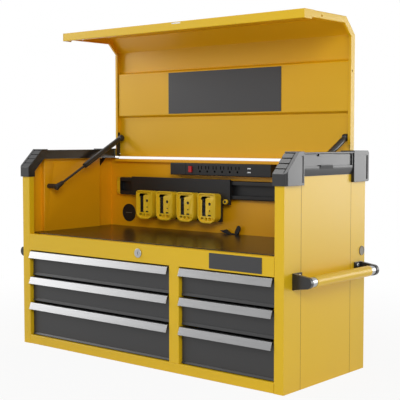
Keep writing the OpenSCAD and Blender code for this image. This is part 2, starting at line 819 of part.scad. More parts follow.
module power_strip() color("dimgray") difference() {
    block([-strip_l / 2, strip_y, strip_z], [strip_l / 2, inner_y, strip_z + strip_h]);
    block([strip_wall - strip_l / 2, strip_y + strip_wall, strip_z + strip_wall],
          [strip_l / 2 - strip_wall, inner_y - strip_wall, strip_z + strip_h - strip_wall]);
    for (i = [0 : outlet_n - 1]) translate([(i - (outlet_n - 1) / 2) * outlet_pitch, strip_y, strip_mid]) {
        for (s = [-1, 1]) translate([s * pin_pitch / 2, 0, pin_up])
            block([-pin_w / 2, -over, -pin_h / 2], [pin_w / 2, outlet_deep, pin_h / 2]);
        bar_y(-over, outlet_deep, 0, -pin_up, ground_d);
    }
    for (s = [-1, 1]) translate([usb_x, strip_y, strip_mid + s * usb_pitch / 2])
        block([-usb_w / 2, -over, -usb_h / 2], [usb_w / 2, outlet_deep, usb_h / 2]);
    translate([-rocker_x, strip_y, strip_mid])
        block([-rocker_w / 2 - rocker_gap, -over, -rocker_h / 2 - rocker_gap],
              [rocker_w / 2 + rocker_gap, strip_wall + over, rocker_h / 2 + rocker_gap]);
}

// Rocker on a cross pin that rests behind the strip's face
module rocker_switch() color("red") translate([-rocker_x, strip_y, strip_mid]) {
    block([-rocker_w / 2, -rocker_out, -rocker_h / 2],
          [rocker_w / 2, rocker_t - rocker_out, rocker_h / 2]);
    bar_x(-rocker_w / 2 - rocker_pin_l, rocker_w / 2 + rocker_pin_l,
          strip_wall + rocker_pin_d / 2 + cover_fit, 0, rocker_pin_d);
}

// C-shaped rail with hooked edges that the carriage runs in, closed at its ends
module holder_rail() color("dimgray") {
    z1 = rail_z + rail_tall;
    both_sides() block([rail_l / 2 - rail_stop, rail_y, rail_z], [rail_l / 2, inner_y, z1]);
    along_x(-rail_l / 2, rail_l / 2) polygon([
        [inner_y, rail_z], [inner_y, z1], [rail_y, z1], [rail_y, z1 - rail_hook - rail_wall],
        [rail_y + rail_wall, z1 - rail_hook - rail_wall], [rail_y + rail_wall, z1 - rail_wall],
        [inner_y - rail_wall, z1 - rail_wall], [inner_y - rail_wall, rail_z + rail_wall],
        [rail_y + rail_wall, rail_z + rail_wall], [rail_y + rail_wall, rail_z + rail_hook + rail_wall],
        [rail_y, rail_z + rail_hook + rail_wall], [rail_y, rail_z]]);
}

// Plate in front of the rail, with the tongue and head that hold it in
module holder_carriage() color("dimgray") difference() {
    z0 = rail_z + rail_wall + rail_gap;
    z1 = rail_z + rail_tall - rail_wall - rail_gap;
    y1 = carriage_y + carriage_t;
    union() {
        block([carriage_lo, carriage_y, rail_z], [carriage_hi, y1, rail_z + rail_tall + carriage_over]);
        block([carriage_hi - tab_w, carriage_y, rail_z - tab_drop], [carriage_hi, y1, rail_z + over]);
        for (i = [0 : holder_n - 1])
            block([holder_x(i) - holder_w / 2 + holder_back_in, carriage_y,
                   holder_top - holder_h + holder_back_in],
                  [holder_x(i) + holder_w / 2 + holder_back_out, y1, rail_z + over]);
        block([carriage_lo, carriage_y, z0 + rail_hook],
              [carriage_hi, inner_y - rail_wall - 2 * rail_gap, z1 - rail_hook]);
        block([carriage_lo, rail_y + rail_wall + rail_gap, z0],
              [carriage_hi, inner_y - rail_wall - rail_gap, z1]);
    }
    bar_y(carriage_y - over, y1 + over, knob_x, knob_z, knob_pin_d + 2 * pin_fit);
}

// Middle of a battery holder
function holder_x(i) = carriage_lo + holder_first + i * holder_pitch;

module battery_holders() color("gold") for (i = [0 : holder_n - 1])
    translate([holder_x(i), carriage_y - holder_d, holder_top - holder_h / 2]) difference() {
        union() {
            block([-holder_w / 2, 0, holder_r - holder_h / 2],
                  [holder_w / 2, holder_d, holder_h / 2 - holder_r]);
            block([holder_r - holder_w / 2, 0, -holder_h / 2],
                  [holder_w / 2 - holder_r, holder_d, holder_h / 2]);
            for (sx = [-1, 1]) for (sz = [-1, 1])
                bar_y(0, holder_d, sx * (holder_w / 2 - holder_r), sz * (holder_h / 2 - holder_r),
                      2 * holder_r);
        }
        block([-holder_slot_w, -over, -holder_slot_h / 2], [0, holder_slot_d, holder_slot_h / 2]);
    }

module carriage_knob() color("gold") {
    bar_y(carriage_y - knob_t - rail_gap, carriage_y - rail_gap, knob_x, knob_z, knob_d);
    bar_y(carriage_y - rail_gap - over, carriage_y + carriage_t, knob_x, knob_z, knob_pin_d);
}

// Slit grommet in the back wall and blank plug in the right rear post
module cable_plugs() color("dimgray") {
    difference() {
        union() {
            bar_y(inner_y - grommet_t, inner_y, -grommet_x, grommet_z, grommet_d);
            bar_y(inner_y - over, half_d, -grommet_x, grommet_z, grommet_d - 2 * grommet_rim - 2 * cover_fit);
        }
        translate([-grommet_x, 0, grommet_z])
            block([-slit_l / 2, inner_y - grommet_t - over, -slit_w / 2],
                  [slit_l / 2, half_d + over, slit_w / 2]);
    }
    bar_x(half_w, half_w + grommet_t, plug_y, plug_z, plug_cap_d);
    bar_x(inner_x, half_w + over, plug_y, plug_z, plug_cap_d - 2 * grommet_rim - 2 * cover_fit);
}

// Cleat at the back of the tray: a low pointed horn on the left and a raised one on the right
module cord_cleat() color("dimgray") translate([cleat_x, inner_y - mat_gap, tray_z + mat_t])
    along_y(-cleat_d, 0) scale([cleat_l, cleat_h]) polygon([
        [-0.3, 0], [0.35, 0], [0.65, 0.48], [0.68, 0.8], [0.6, 1], [0.5, 0.88], [0.26, 0.28],
        [-0.06, 0.2], [-0.3, 0.52], [-0.68, 0.52], [-0.45, 0.28]]);

// Stand-off on each side wall with the pin for a strut's rod
module strut_brackets() color("dimgray") both_sides() {
    x0 = inner_x - strut_flange_t;
    bar_x(x0, inner_x, wall_y, wall_z, strut_flange_d);
    bar_x(eye_out, x0 + over, wall_y, wall_z, eye_d);
    bar_x(strut_x - eye_t / 2, x0 + over, wall_y, wall_z, stud_d);
}

module hinge_plates() color("silver") both_sides() difference() {
    block([cap_x0 - hinge_plate_t, hinge_y - hinge_plate_in, trim_z], [cap_x0, half_d, side_top]);
    bar_x(cap_x0 - hinge_plate_t - over, cap_x0 + over, hinge_y, hinge_z, hinge_pin_d + 2 * pin_fit);
}

module strut_rods() color("silver") both_sides() strut_frame() difference() {
    union() {
        bar_x(strut_x - eye_t / 2, strut_x + eye_t / 2, 0, 0, eye_d);
        bar_y(0, tube_end - tube_l + rod_in, strut_x, 0, rod_d);
    }
    bar_x(strut_x - eye_t, strut_x + eye_t, 0, 0, stud_d + 2 * pin_fit);
}

module strut_tubes() color("dimgray") both_sides() strut_frame() {
    difference() {
        bar_y(tube_end - tube_l, tube_end, strut_x, 0, tube_d);
        bar_y(tube_end - tube_l - over, tube_end, strut_x, 0, rod_d + 2 * pin_fit);
        bar_y(tube_end - tube_l + gland_l, tube_end - tube_wall, strut_x, 0, tube_d - 2 * tube_wall);
    }
    bar_y(tube_end - tube_wall, strut_l, strut_x, 0, eye_d - tube_neck);
    bar_x(strut_x - eye_t / 2, eye_out, strut_l, 0, eye_d);
}

// Outline of the lid seen from the side, a given depth in from its outer face
function lid_line(d) =
    let (k = d * tan(22.5))
    [[lid_back - d, lid_low], [lid_back - d, lid_top - lid_bevel - k],
     [lid_back - lid_bevel - k, lid_top - d], [lid_front, lid_top - d]];
function backwards(a) = [for (i = [len(a) - 1 : -1 : 0]) a[i]];

module lid_shell() color("goldenrod") difference() {
    union() {
        along_x(-lid_x, lid_x) polygon(concat(lid_line(0), backwards(lid_line(sheet))));
        for (x = [-lid_x, lid_in])
            along_x(x, x + sheet) polygon(concat(lid_line(0), backwards(lid_line(lid_flange))));
        both_sides() along_x(lid_x - flange_fold, lid_x)
            polygon(concat(lid_line(lid_flange - sheet), backwards(lid_line(lid_flange))));
        block([-lid_x, lid_back - lid_flange, lid_low], [lid_x, lid_back, lid_low + sheet]);
        block([-lid_x, lid_front, lid_top - lid_lip], [lid_x, lid_front + sheet, lid_top]);
        block([-lid_x, lid_front, lid_top - lid_lip], [lid_x, lid_front + lip_fold, lid_top - lid_lip + sheet]);
    }
    bar_x(-lid_x - over, lid_x + over, hinge_y, hinge_z, hinge_pin_d + 2 * pin_fit);
}

// Raised band welded across the inside of the lid
module lid_band() color("goldenrod") {
    y0 = lid_back - sheet;
    z0 = hinge_z + band_lo;
    z1 = hinge_z + band_hi;
    along_x(band_gap - lid_in, lid_in - band_gap) polygon([
        [y0, z0 - band_edge], [y0 - sheet, z0 - band_edge], [y0 - sheet, z0],
        [band_y, z0 + band_slope], [band_y, z1 - band_slope], [y0 - sheet, z1],
        [y0 - sheet, z1 + band_edge], [y0, z1 + band_edge], [y0, z1 - 2 * sheet],
        [band_y + sheet, z1 - band_slope - sheet], [band_y + sheet, z0 + band_slope + sheet],
        [y0, z0 + 2 * sheet]]);
}

module lid_plate() color("dimgray")
    block([-lid_plate_w / 2, band_y - plate_t, band_z - lid_plate_h / 2],
          [lid_plate_w / 2, band_y, band_z + lid_plate_h / 2]);

// Bracket on each side of the lid with the hinge pin and the strut's stud
module lid_brackets() color("dimgray") both_sides() {
    block([bracket_x, lid_back - lid_flange + sheet + cover_fit, lid_low + sheet + cover_fit],
          [lid_in, lid_back - sheet - cover_fit, lid_low + lid_bracket_h]);
    bar_x(bracket_x, cap_x0 + cap_wall, hinge_y, hinge_z, hinge_pin_d);
    bar_x(eye_out + cover_fit, lid_in, stud_y, stud_z, stud_d);
}

side_panels();
back_panel();
base_pan();
front_posts();
rear_posts();
centre_partition();
fascia();
tray_floor();
tray_mat();
front_caps();
rear_caps();
side_trims();
handle_brackets();
handle_bars();
handle_collars();
handle_screws();
lock_barrel();
lock_plug();
fascia_plate();
slide_outers();
power_strip();
rocker_switch();
holder_rail();
holder_carriage();
battery_holders();
carriage_knob();
cable_plugs();
cord_cleat();
strut_brackets();
hinge_plates();
strut_rods();
strut_tubes();
lid_shell();
lid_band();
lid_plate();
lid_brackets();
for (b = banks) for (r = rows) {
    drawer(b, r);
    pull(b, r);
    slide_inner(b, r);
    slide_middle(b, r);
}
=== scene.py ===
"""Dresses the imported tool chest: finished pieces, their materials and a plain studio."""

import json
import math
from contextlib import contextmanager

import bmesh
import bpy
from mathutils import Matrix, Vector


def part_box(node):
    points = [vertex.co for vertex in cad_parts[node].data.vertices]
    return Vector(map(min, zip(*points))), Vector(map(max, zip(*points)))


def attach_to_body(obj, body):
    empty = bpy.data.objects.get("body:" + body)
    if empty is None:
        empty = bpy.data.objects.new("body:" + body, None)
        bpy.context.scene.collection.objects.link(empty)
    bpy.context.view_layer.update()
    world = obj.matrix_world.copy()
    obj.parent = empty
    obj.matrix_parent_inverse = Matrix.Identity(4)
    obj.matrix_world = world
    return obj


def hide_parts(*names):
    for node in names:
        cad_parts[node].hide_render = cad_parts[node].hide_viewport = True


bl_info = {
    "name": "Tool Chest",
    "version": (1, 0, 0),
    "blender": (4, 5, 0),
    "location": "3D View > Sidebar > Tool Chest",
    "description": "Finished pieces, materials and studio for a steel tool chest",
    "category": "Add Mesh",
}

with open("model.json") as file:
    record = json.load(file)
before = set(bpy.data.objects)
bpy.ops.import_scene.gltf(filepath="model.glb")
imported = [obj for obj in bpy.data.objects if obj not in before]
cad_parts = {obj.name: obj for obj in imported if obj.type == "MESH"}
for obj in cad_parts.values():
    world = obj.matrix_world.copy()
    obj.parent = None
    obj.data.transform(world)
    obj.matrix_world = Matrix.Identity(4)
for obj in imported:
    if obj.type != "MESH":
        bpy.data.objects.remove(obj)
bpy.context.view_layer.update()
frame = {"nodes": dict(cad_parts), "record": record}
NODES = frame["nodes"]
BODY_OF = {n: b for b, ns in frame["record"]["behaviour"]["bodies"].items() for n in ns}

MM = 0.001
MERGE = 0.02 * MM  # points closer than this become one
NEAR = 0.3 * MM  # an edge this close to a plane lies in it
ACROSS = 0.001  # an edge that runs less than this along an axis, in mm, lies across it
FACING = 0.9  # a face looks along an axis when its normal's share is over this
FLAT = math.radians(1)  # faces that meet at less than this become one
SHARP = math.radians(34)  # edges that bend more than this are broken
SMOOTH = math.radians(40)  # edges that bend less than this are shaded smooth
AXES = "xyz"
SIDES = (-1, 1)
DRAWERS = [f"{bank}_{row}" for bank in ("left", "right") for row in ("top", "middle", "bottom")]

# Places that several pieces share, in mm
WALL_X = 520.5
SEAM_Y = 125
CAP_X = 530


# Shader sums


class Wire:
    """A socket of a material's nodes that can be used in sums."""

    def __init__(self, tree, socket):
        self.tree = tree
        self.socket = socket

    def node(self, kind, settings=None, values=None, out=0):
        """Adds a node: its settings first, then the values or links of its sockets."""
        new = self.tree.nodes.new(kind)
        for name, value in (settings or {}).items():
            setattr(new, name, value)
        for name, value in (values or {}).items():
            if isinstance(value, Wire):
                self.tree.links.new(value.socket, new.inputs[name])
            else:
                new.inputs[name].default_value = value
        return Wire(self.tree, new.outputs[out])

    def math(self, operation, first, second):
        return self.node("ShaderNodeMath", {"operation": operation}, {0: first, 1: second})

    def __add__(self, other):
        return self.math("ADD", self, other)

    def __radd__(self, other):
        return self.math("ADD", other, self)

    def __sub__(self, other):
        return self.math("SUBTRACT", self, other)

    def __rsub__(self, other):
        return self.math("SUBTRACT", other, self)

    def __mul__(self, other):
        return self.math("MULTIPLY", self, other)

    def __rmul__(self, other):
        return self.math("MULTIPLY", other, self)


def shaded(colour, share):
    """A colour made lighter or darker by a share."""
    return (colour[0] * share, colour[1] * share, colour[2] * share, 1.0)


class Finish:
    """A new material with its shader and the place on the piece that its patterns read."""

    def __init__(self, name):
        material = bpy.data.materials.new(name + "_finish")
        material.use_nodes = True
        tree = material.node_tree
        self.shader = tree.nodes["Principled BSDF"]
        self.place = Wire(tree, tree.nodes.new("ShaderNodeTexCoord").outputs["Object"])

    def grain(self, scale, detail=2.0, stretch=(1.0, 1.0, 1.0)):
        """Noise of a given number of cells per metre, drawn out along an axis by a small number."""
        where = self.place.node("ShaderNodeMapping", None, {"Vector": self.place, "Scale": stretch})
        return self.place.node(
            "ShaderNodeTexNoise", None, {"Vector": where, "Scale": scale, "Detail": detail}
        )

    def tone(self, factor, low, high):
        """A colour between two colours."""
        return self.place.node(
            "ShaderNodeMix", {"data_type": "RGBA"}, {0: factor, 6: low, 7: high}, 2
        )

    def wander(self, factor, colour, low, high):
        """A colour that wanders between a darker and a lighter share of itself."""
        return self.tone(factor, shaded(colour, low), shaded(colour, high))

    def within(self, low, high, reach):
        """1 inside a box in mm, on either side, where y + z is under reach; 0 elsewhere."""
        parts = self.place.node("ShaderNodeSeparateXYZ", None, {0: self.place}).socket.node
        at = [Wire(self.place.tree, parts.outputs[i]) for i in range(3)]
        at[0] = at[0].math("MAXIMUM", at[0], -1 * at[0])
        inside = at[0].math("LESS_THAN", at[1] + at[2], reach * MM)
        for i in range(3):
            above = at[i].math("GREATER_THAN", at[i], low[i] * MM)
            inside = inside * above * at[i].math("LESS_THAN", at[i], high[i] * MM)
        return inside

    def bump(self, height, strength, depth):
        return self.place.node(
            "ShaderNodeBump", None, {"Height": height, "Strength": strength, "Distance": depth}
        )

    def feed(self, **sockets):
        """Sets or links the shader's sockets; a socket's spaces are written as underscores."""
        for name, value in sockets.items():
            socket = self.shader.inputs[name.replace("_", " ")]
            if isinstance(value, Wire):
                self.place.tree.links.new(value.socket, socket)
            else:
                socket.default_value = value


def powder_coat(name, colour, rough, peel, specular=0.5, zones=()):
    """Baked paint: slight orange peel, a tone that wanders, and other tones in some boxes."""
    f = Finish(name)
    drift = f.grain(3.0, 3.0)
    skin = f.grain(420.0, 1.0)
    fine = f.grain(1500.0, 1.0)
    tone = f.wander(drift, colour, 0.96, 1.04)
    for other, *zone in zones:
        tone = f.tone(f.within(*zone), tone, f.wander(drift, other, 0.96, 1.04))
    f.feed(
        Base_Color=tone,
        Roughness=rough - 0.05 + 0.08 * drift + 0.04 * fine,
        Normal=f.bump(skin + 0.35 * fine, peel, 0.0002),
        Specular_IOR_Level=specular,
    )


def moulded(name, colour, rough, grain, specular=0.5):
    """Moulded plastic with a fine etched grain."""
    f = Finish(name)
    etch = f.grain(1300.0, 2.0)
    flow = f.grain(9.0, 3.0)
    f.feed(
        Base_Color=f.wander(flow * 0.6 + etch * 0.4, colour, 0.88, 1.12),
        Roughness=rough - 0.06 + 0.08 * flow + 0.05 * etch,
        Normal=f.bump(etch, grain, 0.0002),
        Specular_IOR_Level=specular,
    )


def brushed(name, colour, rough, stretch):
    """Metal brushed one way."""
    f = Finish(name)
    lines = f.grain(900.0, 3.0, stretch)
    broad = f.grain(60.0, 2.0, stretch)
    f.feed(
        Base_Color=f.wander(lines * 0.6 + broad * 0.4, colour, 0.86, 1.1),
        Roughness=rough - 0.06 + 0.14 * lines,
        Metallic=1.0,
        Normal=f.bump(lines, 0.18, 0.0001),
    )


def plated(name, colour, rough):
    """Plated metal with faint handling marks."""
    f = Finish(name)
    cloud = f.grain(40.0, 4.0)
    fine = f.grain(700.0, 2.0)
    f.feed(
        Base_Color=f.wander(cloud, colour, 0.9, 1.06),
        Roughness=rough - 0.04 + 0.1 * cloud,
        Metallic=1.0,
        Normal=f.bump(fine, 0.06, 0.0001),
    )


def rubber(name, colour, rough):
    """Smooth rubber sheet with a low pebble grain."""
    f = Finish(name)
    pebble = f.grain(520.0, 2.0)
    drift = f.grain(4.0, 2.0)
    f.feed(
        Base_Color=f.wander(drift * 0.5 + pebble * 0.5, colour, 0.8, 1.2),
        Roughness=rough - 0.02 + 0.03 * drift + 0.02 * pebble,
        Normal=f.bump(pebble, 0.04, 0.0001),
        Specular_IOR_Level=0.4,
    )


# Mesh work


def only(obj):
    """Makes one object the selected and active one, in object mode."""
    if bpy.context.mode != "OBJECT":
        bpy.ops.object.mode_set(mode="OBJECT")
    bpy.ops.object.select_all(action="DESELECT")
    obj.select_set(True)
    bpy.context.view_layer.objects.active = obj


@contextmanager
def editing(obj):
    """Edit mode on one object."""
    only(obj)
    bpy.ops.object.mode_set(mode="EDIT")
    yield
    bpy.ops.object.mode_set(mode="OBJECT")


def pick_faces(obj, axis, way):
    """Selects, in edit mode, only the faces that look one way along an axis."""
    bpy.ops.mesh.select_mode(type="FACE")
    bpy.ops.mesh.select_all(action="DESELECT")
    mesh = bmesh.from_edit_mesh(obj.data)
    for face in mesh.faces:
        face.select_set(face.normal[AXES.index(axis)] * way > FACING)
    mesh.select_flush_mode()
    bmesh.update_edit_mesh(obj.data)


def pick_edges(obj, rule):
    """Selects, in edit mode, only the edges that a rule accepts, and says if there are any."""
    bpy.ops.mesh.select_mode(type="EDGE")
    bpy.ops.mesh.select_all(action="DESELECT")
    mesh = bmesh.from_edit_mesh(obj.data)
    chosen = [edge for edge in mesh.edges if rule(edge)]
    for edge in chosen:
        edge.select_set(True)
    mesh.select_flush_mode()
    bmesh.update_edit_mesh(obj.data)
    return bool(chosen)


def round_edges(obj, rule, radius, steps=3):
    """Rounds the edges that a rule accepts."""
    with editing(obj):
        if pick_edges(obj, rule):
            bpy.ops.mesh.bevel(offset=radius, segments=steps, clamp_overlap=True)


def edge_at(**places):
    """A rule for edges at given places in mm, such as x=530, y=-208; x counts on both sides."""

    def rule(edge):
        for name, value in places.items():
            for vert in edge.verts:
                found = vert.co[AXES.index(name)]
                if name == "x":
                    found = abs(found)
                if abs(found - value * MM) > NEAR:
                    return False
        return True

    return rule


def run(edge, axis):
    """How far an edge runs along an axis, in mm."""
    i = AXES.index(axis)
    return abs(edge.verts[0].co[i] - edge.verts[1].co[i]) / MM


def fold_rule(convex):
    """A rule for the fold lines of bent sheet: long edges between two wide faces."""
    least_length, least_width, least_bend = 8 * MM, 4 * MM, 0.6

    def rule(edge):
        if len(edge.link_faces) != 2 or edge.is_convex != convex:
            return False
        one, two = edge.link_faces
        long = edge.calc_length()
        if long < least_length or one.normal.angle(two.normal, 0.0) < least_bend:
            return False
        return min(one.calc_area(), two.calc_area()) / long > least_width

    return rule


def modify(obj, kind, **settings):
    """Adds a modifier and applies it."""
    modifier = obj.modifiers.new(kind.lower(), kind)
    for name, value in settings.items():
        setattr(modifier, name, value)
    only(obj)
    bpy.ops.object.modifier_apply(modifier=modifier.name)


def settle(obj, rim, steps=2):
    """Breaks the sharp edges that are left and smooths the shading."""
    if rim:
        modify(
            obj, "BEVEL", width=rim, segments=steps, limit_method="ANGLE",
            angle_limit=SHARP, miter_outer="MITER_ARC",
        )
    with editing(obj):
        bpy.ops.mesh.select_all(action="SELECT")
        bpy.ops.mesh.vert_connect_concave()
    bpy.ops.object.shade_smooth_by_angle(angle=SMOOTH)
    modify(obj, "WEIGHTED_NORMAL", keep_sharp=True)
    return obj


def solid_copy(node):
    """A copy of a solid as a clean mesh with whole faces."""
    obj = bpy.data.objects.new(node + "_skin", NODES[node].data.copy())
    bpy.context.scene.collection.objects.link(obj)
    obj.data.materials.clear()
    with editing(obj):
        bpy.ops.mesh.customdata_custom_splitnormals_clear()
        bpy.ops.mesh.select_all(action="SELECT")
        bpy.ops.mesh.remove_doubles(threshold=MERGE)
        bpy.ops.mesh.dissolve_limited(angle_limit=FLAT)
        bpy.ops.mesh.select_all(action="SELECT")
        bpy.ops.mesh.vert_connect_concave()
    return obj


def put_down(obj, name):
    """Moves an object's place, turn and size into its mesh."""
    only(obj)
    bpy.ops.object.transform_apply(location=True, rotation=True, scale=True)
    obj.name = name
    return obj


def block(name, low, high):
    """A box from one corner to the other, in mm."""
    low, high = Vector(low) * MM, Vector(high) * MM
    bpy.ops.object.select_all(action="DESELECT")
    bpy.ops.mesh.primitive_cube_add(size=1, location=(low + high) / 2, scale=high - low)
    return put_down(bpy.context.object, name)


def drum(name, axis, start, long, radius, sides=32):
    """A round bar along x or y from a start point, in mm."""
    turn = {"x": (0, math.pi / 2, 0), "y": (-math.pi / 2, 0, 0)}[axis]
    middle = Vector(start)
    middle[AXES.index(axis)] += long / 2
    bpy.ops.object.select_all(action="DESELECT")
    bpy.ops.mesh.primitive_cylinder_add(
        vertices=sides, radius=radius * MM, depth=long * MM, location=middle * MM, rotation=turn,
    )
    return put_down(bpy.context.object, name)


def prism(name, axis, outline, start, end):
    """A flat outline, in mm, run along an axis from one place to another."""
    bpy.ops.object.select_all(action="DESELECT")
    bpy.ops.mesh.primitive_circle_add(vertices=len(outline), radius=1, fill_type="NGON")
    obj = bpy.context.object
    along = AXES.index(axis)
    across = [i for i in range(3) if i != along]
    for vert, point in zip(obj.data.vertices, outline):
        vert.co[along] = start * MM
        vert.co[across[0]] = point[0] * MM
        vert.co[across[1]] = point[1] * MM
    way = Vector((0, 0, 0))
    way[along] = (end - start) * MM
    with editing(obj):
        bpy.ops.mesh.select_all(action="SELECT")
        bpy.ops.mesh.extrude_region_move(TRANSFORM_OT_translate={"value": way})
        bpy.ops.mesh.select_all(action="SELECT")
        bpy.ops.mesh.normals_make_consistent(inside=False)
    return put_down(obj, name)


def rounded_outline(width, height, top, bottom, steps=7):
    """An upright rectangle about the origin with rounded upper and lower corners."""
    points = []
    for side_x, side_z, radius, start in (
        (1, -1, bottom, -90), (1, 1, top, 0), (-1, 1, top, 90), (-1, -1, bottom, 180),
    ):
        x = side_x * (width / 2 - radius)
        z = side_z * (height / 2 - radius)
        for i in range(steps + 1):
            angle = math.radians(start + 90 * i / steps)
            points.append((x + radius * math.cos(angle), z + radius * math.sin(angle)))
    return points


def joined(name, objs):
    """Several objects as one."""
    only(objs[0])
    for obj in objs:
        obj.select_set(True)
    bpy.ops.object.join()
    objs[0].name = name
    return objs[0]


def cut(obj, cutters):
    """Takes the cutters, which don't touch each other, out of a piece."""
    tool = joined("cutter", cutters)
    modify(obj, "BOOLEAN", operation="DIFFERENCE", solver="EXACT", object=tool)
    bpy.data.objects.remove(tool)
    return obj


def sink(obj, way, rim, move):
    """Leaves a rim, in edit mode, round the faces that look one way along y, and moves them."""
    pick_faces(obj, "y", way)
    bpy.ops.mesh.inset(thickness=rim, depth=0)
    bpy.ops.mesh.extrude_region_move(TRANSFORM_OT_translate={"value": (0, move, 0)})


def copied(obj, name, shift=(0, 0, 0)):
    """A copy with its own mesh, moved by a shift in mm."""
    twin = obj.copy()
    twin.data = obj.data.copy()
    twin.name = name
    bpy.context.scene.collection.objects.link(twin)
    twin.location = Vector(shift) * MM
    return put_down(twin, name)


def row_of(name, pattern, places):
    """Copies of a pattern at some places, as one object; the pattern goes."""
    row = joined(name, [copied(pattern, pattern.name, at) for at in places])
    bpy.data.objects.remove(pattern)
    return row


def on_both_sides(obj):
    """The piece and its mirror image on the left, as one object."""
    name = obj.name
    twin = copied(obj, name + "_left")
    with editing(twin):
        bpy.ops.mesh.select_all(action="SELECT")
        bpy.ops.transform.resize(value=(-1, 1, 1), center_override=(0, 0, 0))
        bpy.ops.mesh.normals_make_consistent(inside=False)
    return joined(name, [obj, twin])


def attach(obj, material, body):
    """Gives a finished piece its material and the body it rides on."""
    obj.data.materials.clear()
    obj.data.materials.append(bpy.data.materials[material + "_finish"])
    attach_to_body(obj, body)


def dress(obj, material, node):
    """Attaches a piece that stands for a solid."""
    attach(obj, material, BODY_OF[node])
    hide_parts(node)


def soften(node, material, rim, steps=2):
    """Dresses a solid in a copy of itself with its edges rounded by a rim in mm."""
    dress(settle(solid_copy(node), rim * MM, steps), material, node)


def folded_sheet(node, sizes, bores=()):
    """A copy of a sheet steel solid, bored, with its fold lines rounded."""
    obj = solid_copy(node)
    if bores:
        cut(obj, bores)
    round_edges(obj, fold_rule(True), sizes.fold_radius + sizes.sheet, 4)
    round_edges(obj, fold_rule(False), sizes.fold_radius, 4)
    return obj


# Sizes and colours


def length(name, description, default):
    return bpy.props.FloatProperty(
        name=name, description=description, default=default * MM, min=0.0, precision=5,
        subtype="DISTANCE", unit="LENGTH",
    )


def colour(name, description, default):
    return bpy.props.FloatVectorProperty(
        name=name, description=description, default=default, min=0.0, max=1.0, size=3,
        subtype="COLOR",
    )


class ChestSizes(bpy.types.PropertyGroup):
    """Small shapes that the solids leave sharp."""

    sheet: length("Sheet", "Thickness of the sheet steel", 1.2)
    fold_radius: length("Fold radius", "Inner radius of the folds in the sheet steel", 1.2)
    rim: length("Rim", "Rounding of cut edges", 0.35)
    seam: length("Seam", "Rounding of the edges beside the seams on the sides", 1.0)
    cap_corner: length("Cap corner", "Rounding of the front caps' outer corner", 8.0)
    cap_edge: length("Cap edge", "Rounding of the caps' other edges", 2.5)
    holder_rim: length("Holder rim", "Width of the rim round a battery holder's face", 4.6)
    holder_sink: length("Holder face", "Depth of a battery holder's face behind its rim", 5.0)
    holder_step: length("Holder step", "Depth of the wide front part of a battery holder", 9.0)
    hem_drop: length("Hem drop", "How far the upper drawers' hems are drawn down", 2.4)
    hem_flat: length("Hem flat", "How far the upper drawers' hems are pushed in", 1.0)
    lock_flange: length("Lock flange", "Radius of the lock's flange", 13.6)
    pull_nose: length("Pull nose", "Rounding of the pulls' upper edge", 2.6)
    rail_edge: length("Rail edge", "Rounding of the holder rail's lips", 4.6)


class ChestColours(bpy.types.PropertyGroup):
    """Base colours of the finishes, and tones of the yellow paint that are painted shade and
    painted light.
    """

    yellow: colour("Yellow paint", "Powder coat of the cabinet and lid", (0.875, 0.556, 0.008))
    # Tray paint is painted shade: a darker, more orange copy of the yellow paint inside the tray,
    # standing in for the shade and yellow bounce light there.
    tray: colour("Tray paint", "Powder coat inside the tray", (0.96, 0.455, 0.004))
    # Lid paint is painted shade: a darker, more orange copy of the yellow paint on the lid's
    # inside.
    lid: colour("Lid paint", "Powder coat inside the lid", (0.85, 0.48, 0.005))
    # Lid top paint is painted light: a brighter, more golden tone than the lid's inside, standing
    # in for light bounced up onto the downward-facing faces under the lid's top and bevel.
    lid_top_painted_light: colour("Lid top paint", "Under the lid's top and bevel", (0.95, 0.5, 0.004))
    # Seam colour is partly painted shade and partly thin paint: a narrow dark line down each seam
    # on the outer sides stands for the seam's shadow as well as the thin paint in it.
    seam: colour("Seam", "Thin paint in the seams on the sides", (0.3, 0.13, 0.003))
    front: colour("Front paint", "Powder coat of the drawers", (0.027, 0.027, 0.028))
    cover: colour("Cover plastic", "Caps, trims and handle brackets", (0.013, 0.013, 0.0135))
    holder: colour("Holder plastic", "Battery holders and knob", (0.95, 0.63, 0.012))
    strip: colour("Strip plastic", "Power strip, rail and carriage", (0.013, 0.013, 0.0135))
    red: colour("Red plastic", "Rocker switch", (0.55, 0.003, 0.006))
    mat: colour("Mat rubber", "Tray mat", (0.006, 0.005, 0.004))
    pull: colour("Pull metal", "Drawer pulls", (0.275, 0.275, 0.278))
    steel: colour("Slide steel", "Slides, hinge plates and screws", (0.55, 0.56, 0.57))
    bright: colour("Bright metal", "Catch, pin heads and ports", (0.62, 0.63, 0.64))
    satin: colour("Satin metal", "Lock and handle collars", (0.4, 0.405, 0.41))
    black: colour("Black steel", "Struts and their brackets", (0.02, 0.02, 0.021))
    plate: colour("Plate", "Bare plates on the fascia and the lid", (0.034, 0.034, 0.036))
    # Plug plastic also gives the grommet's strip its light grey, a painted highlight.
    plug: colour("Plug plastic", "Blank plugs in the rear posts", (0.23, 0.2, 0.14))


# Operators


class ChestOperator(bpy.types.Operator):
    """Shared by the operators that build the chest."""

    bl_options = {"REGISTER", "UNDO"}

    @property
    def sizes(self):
        return bpy.context.scene.chest_sizes

    @property
    def colours(self):
        return bpy.context.scene.chest_colours


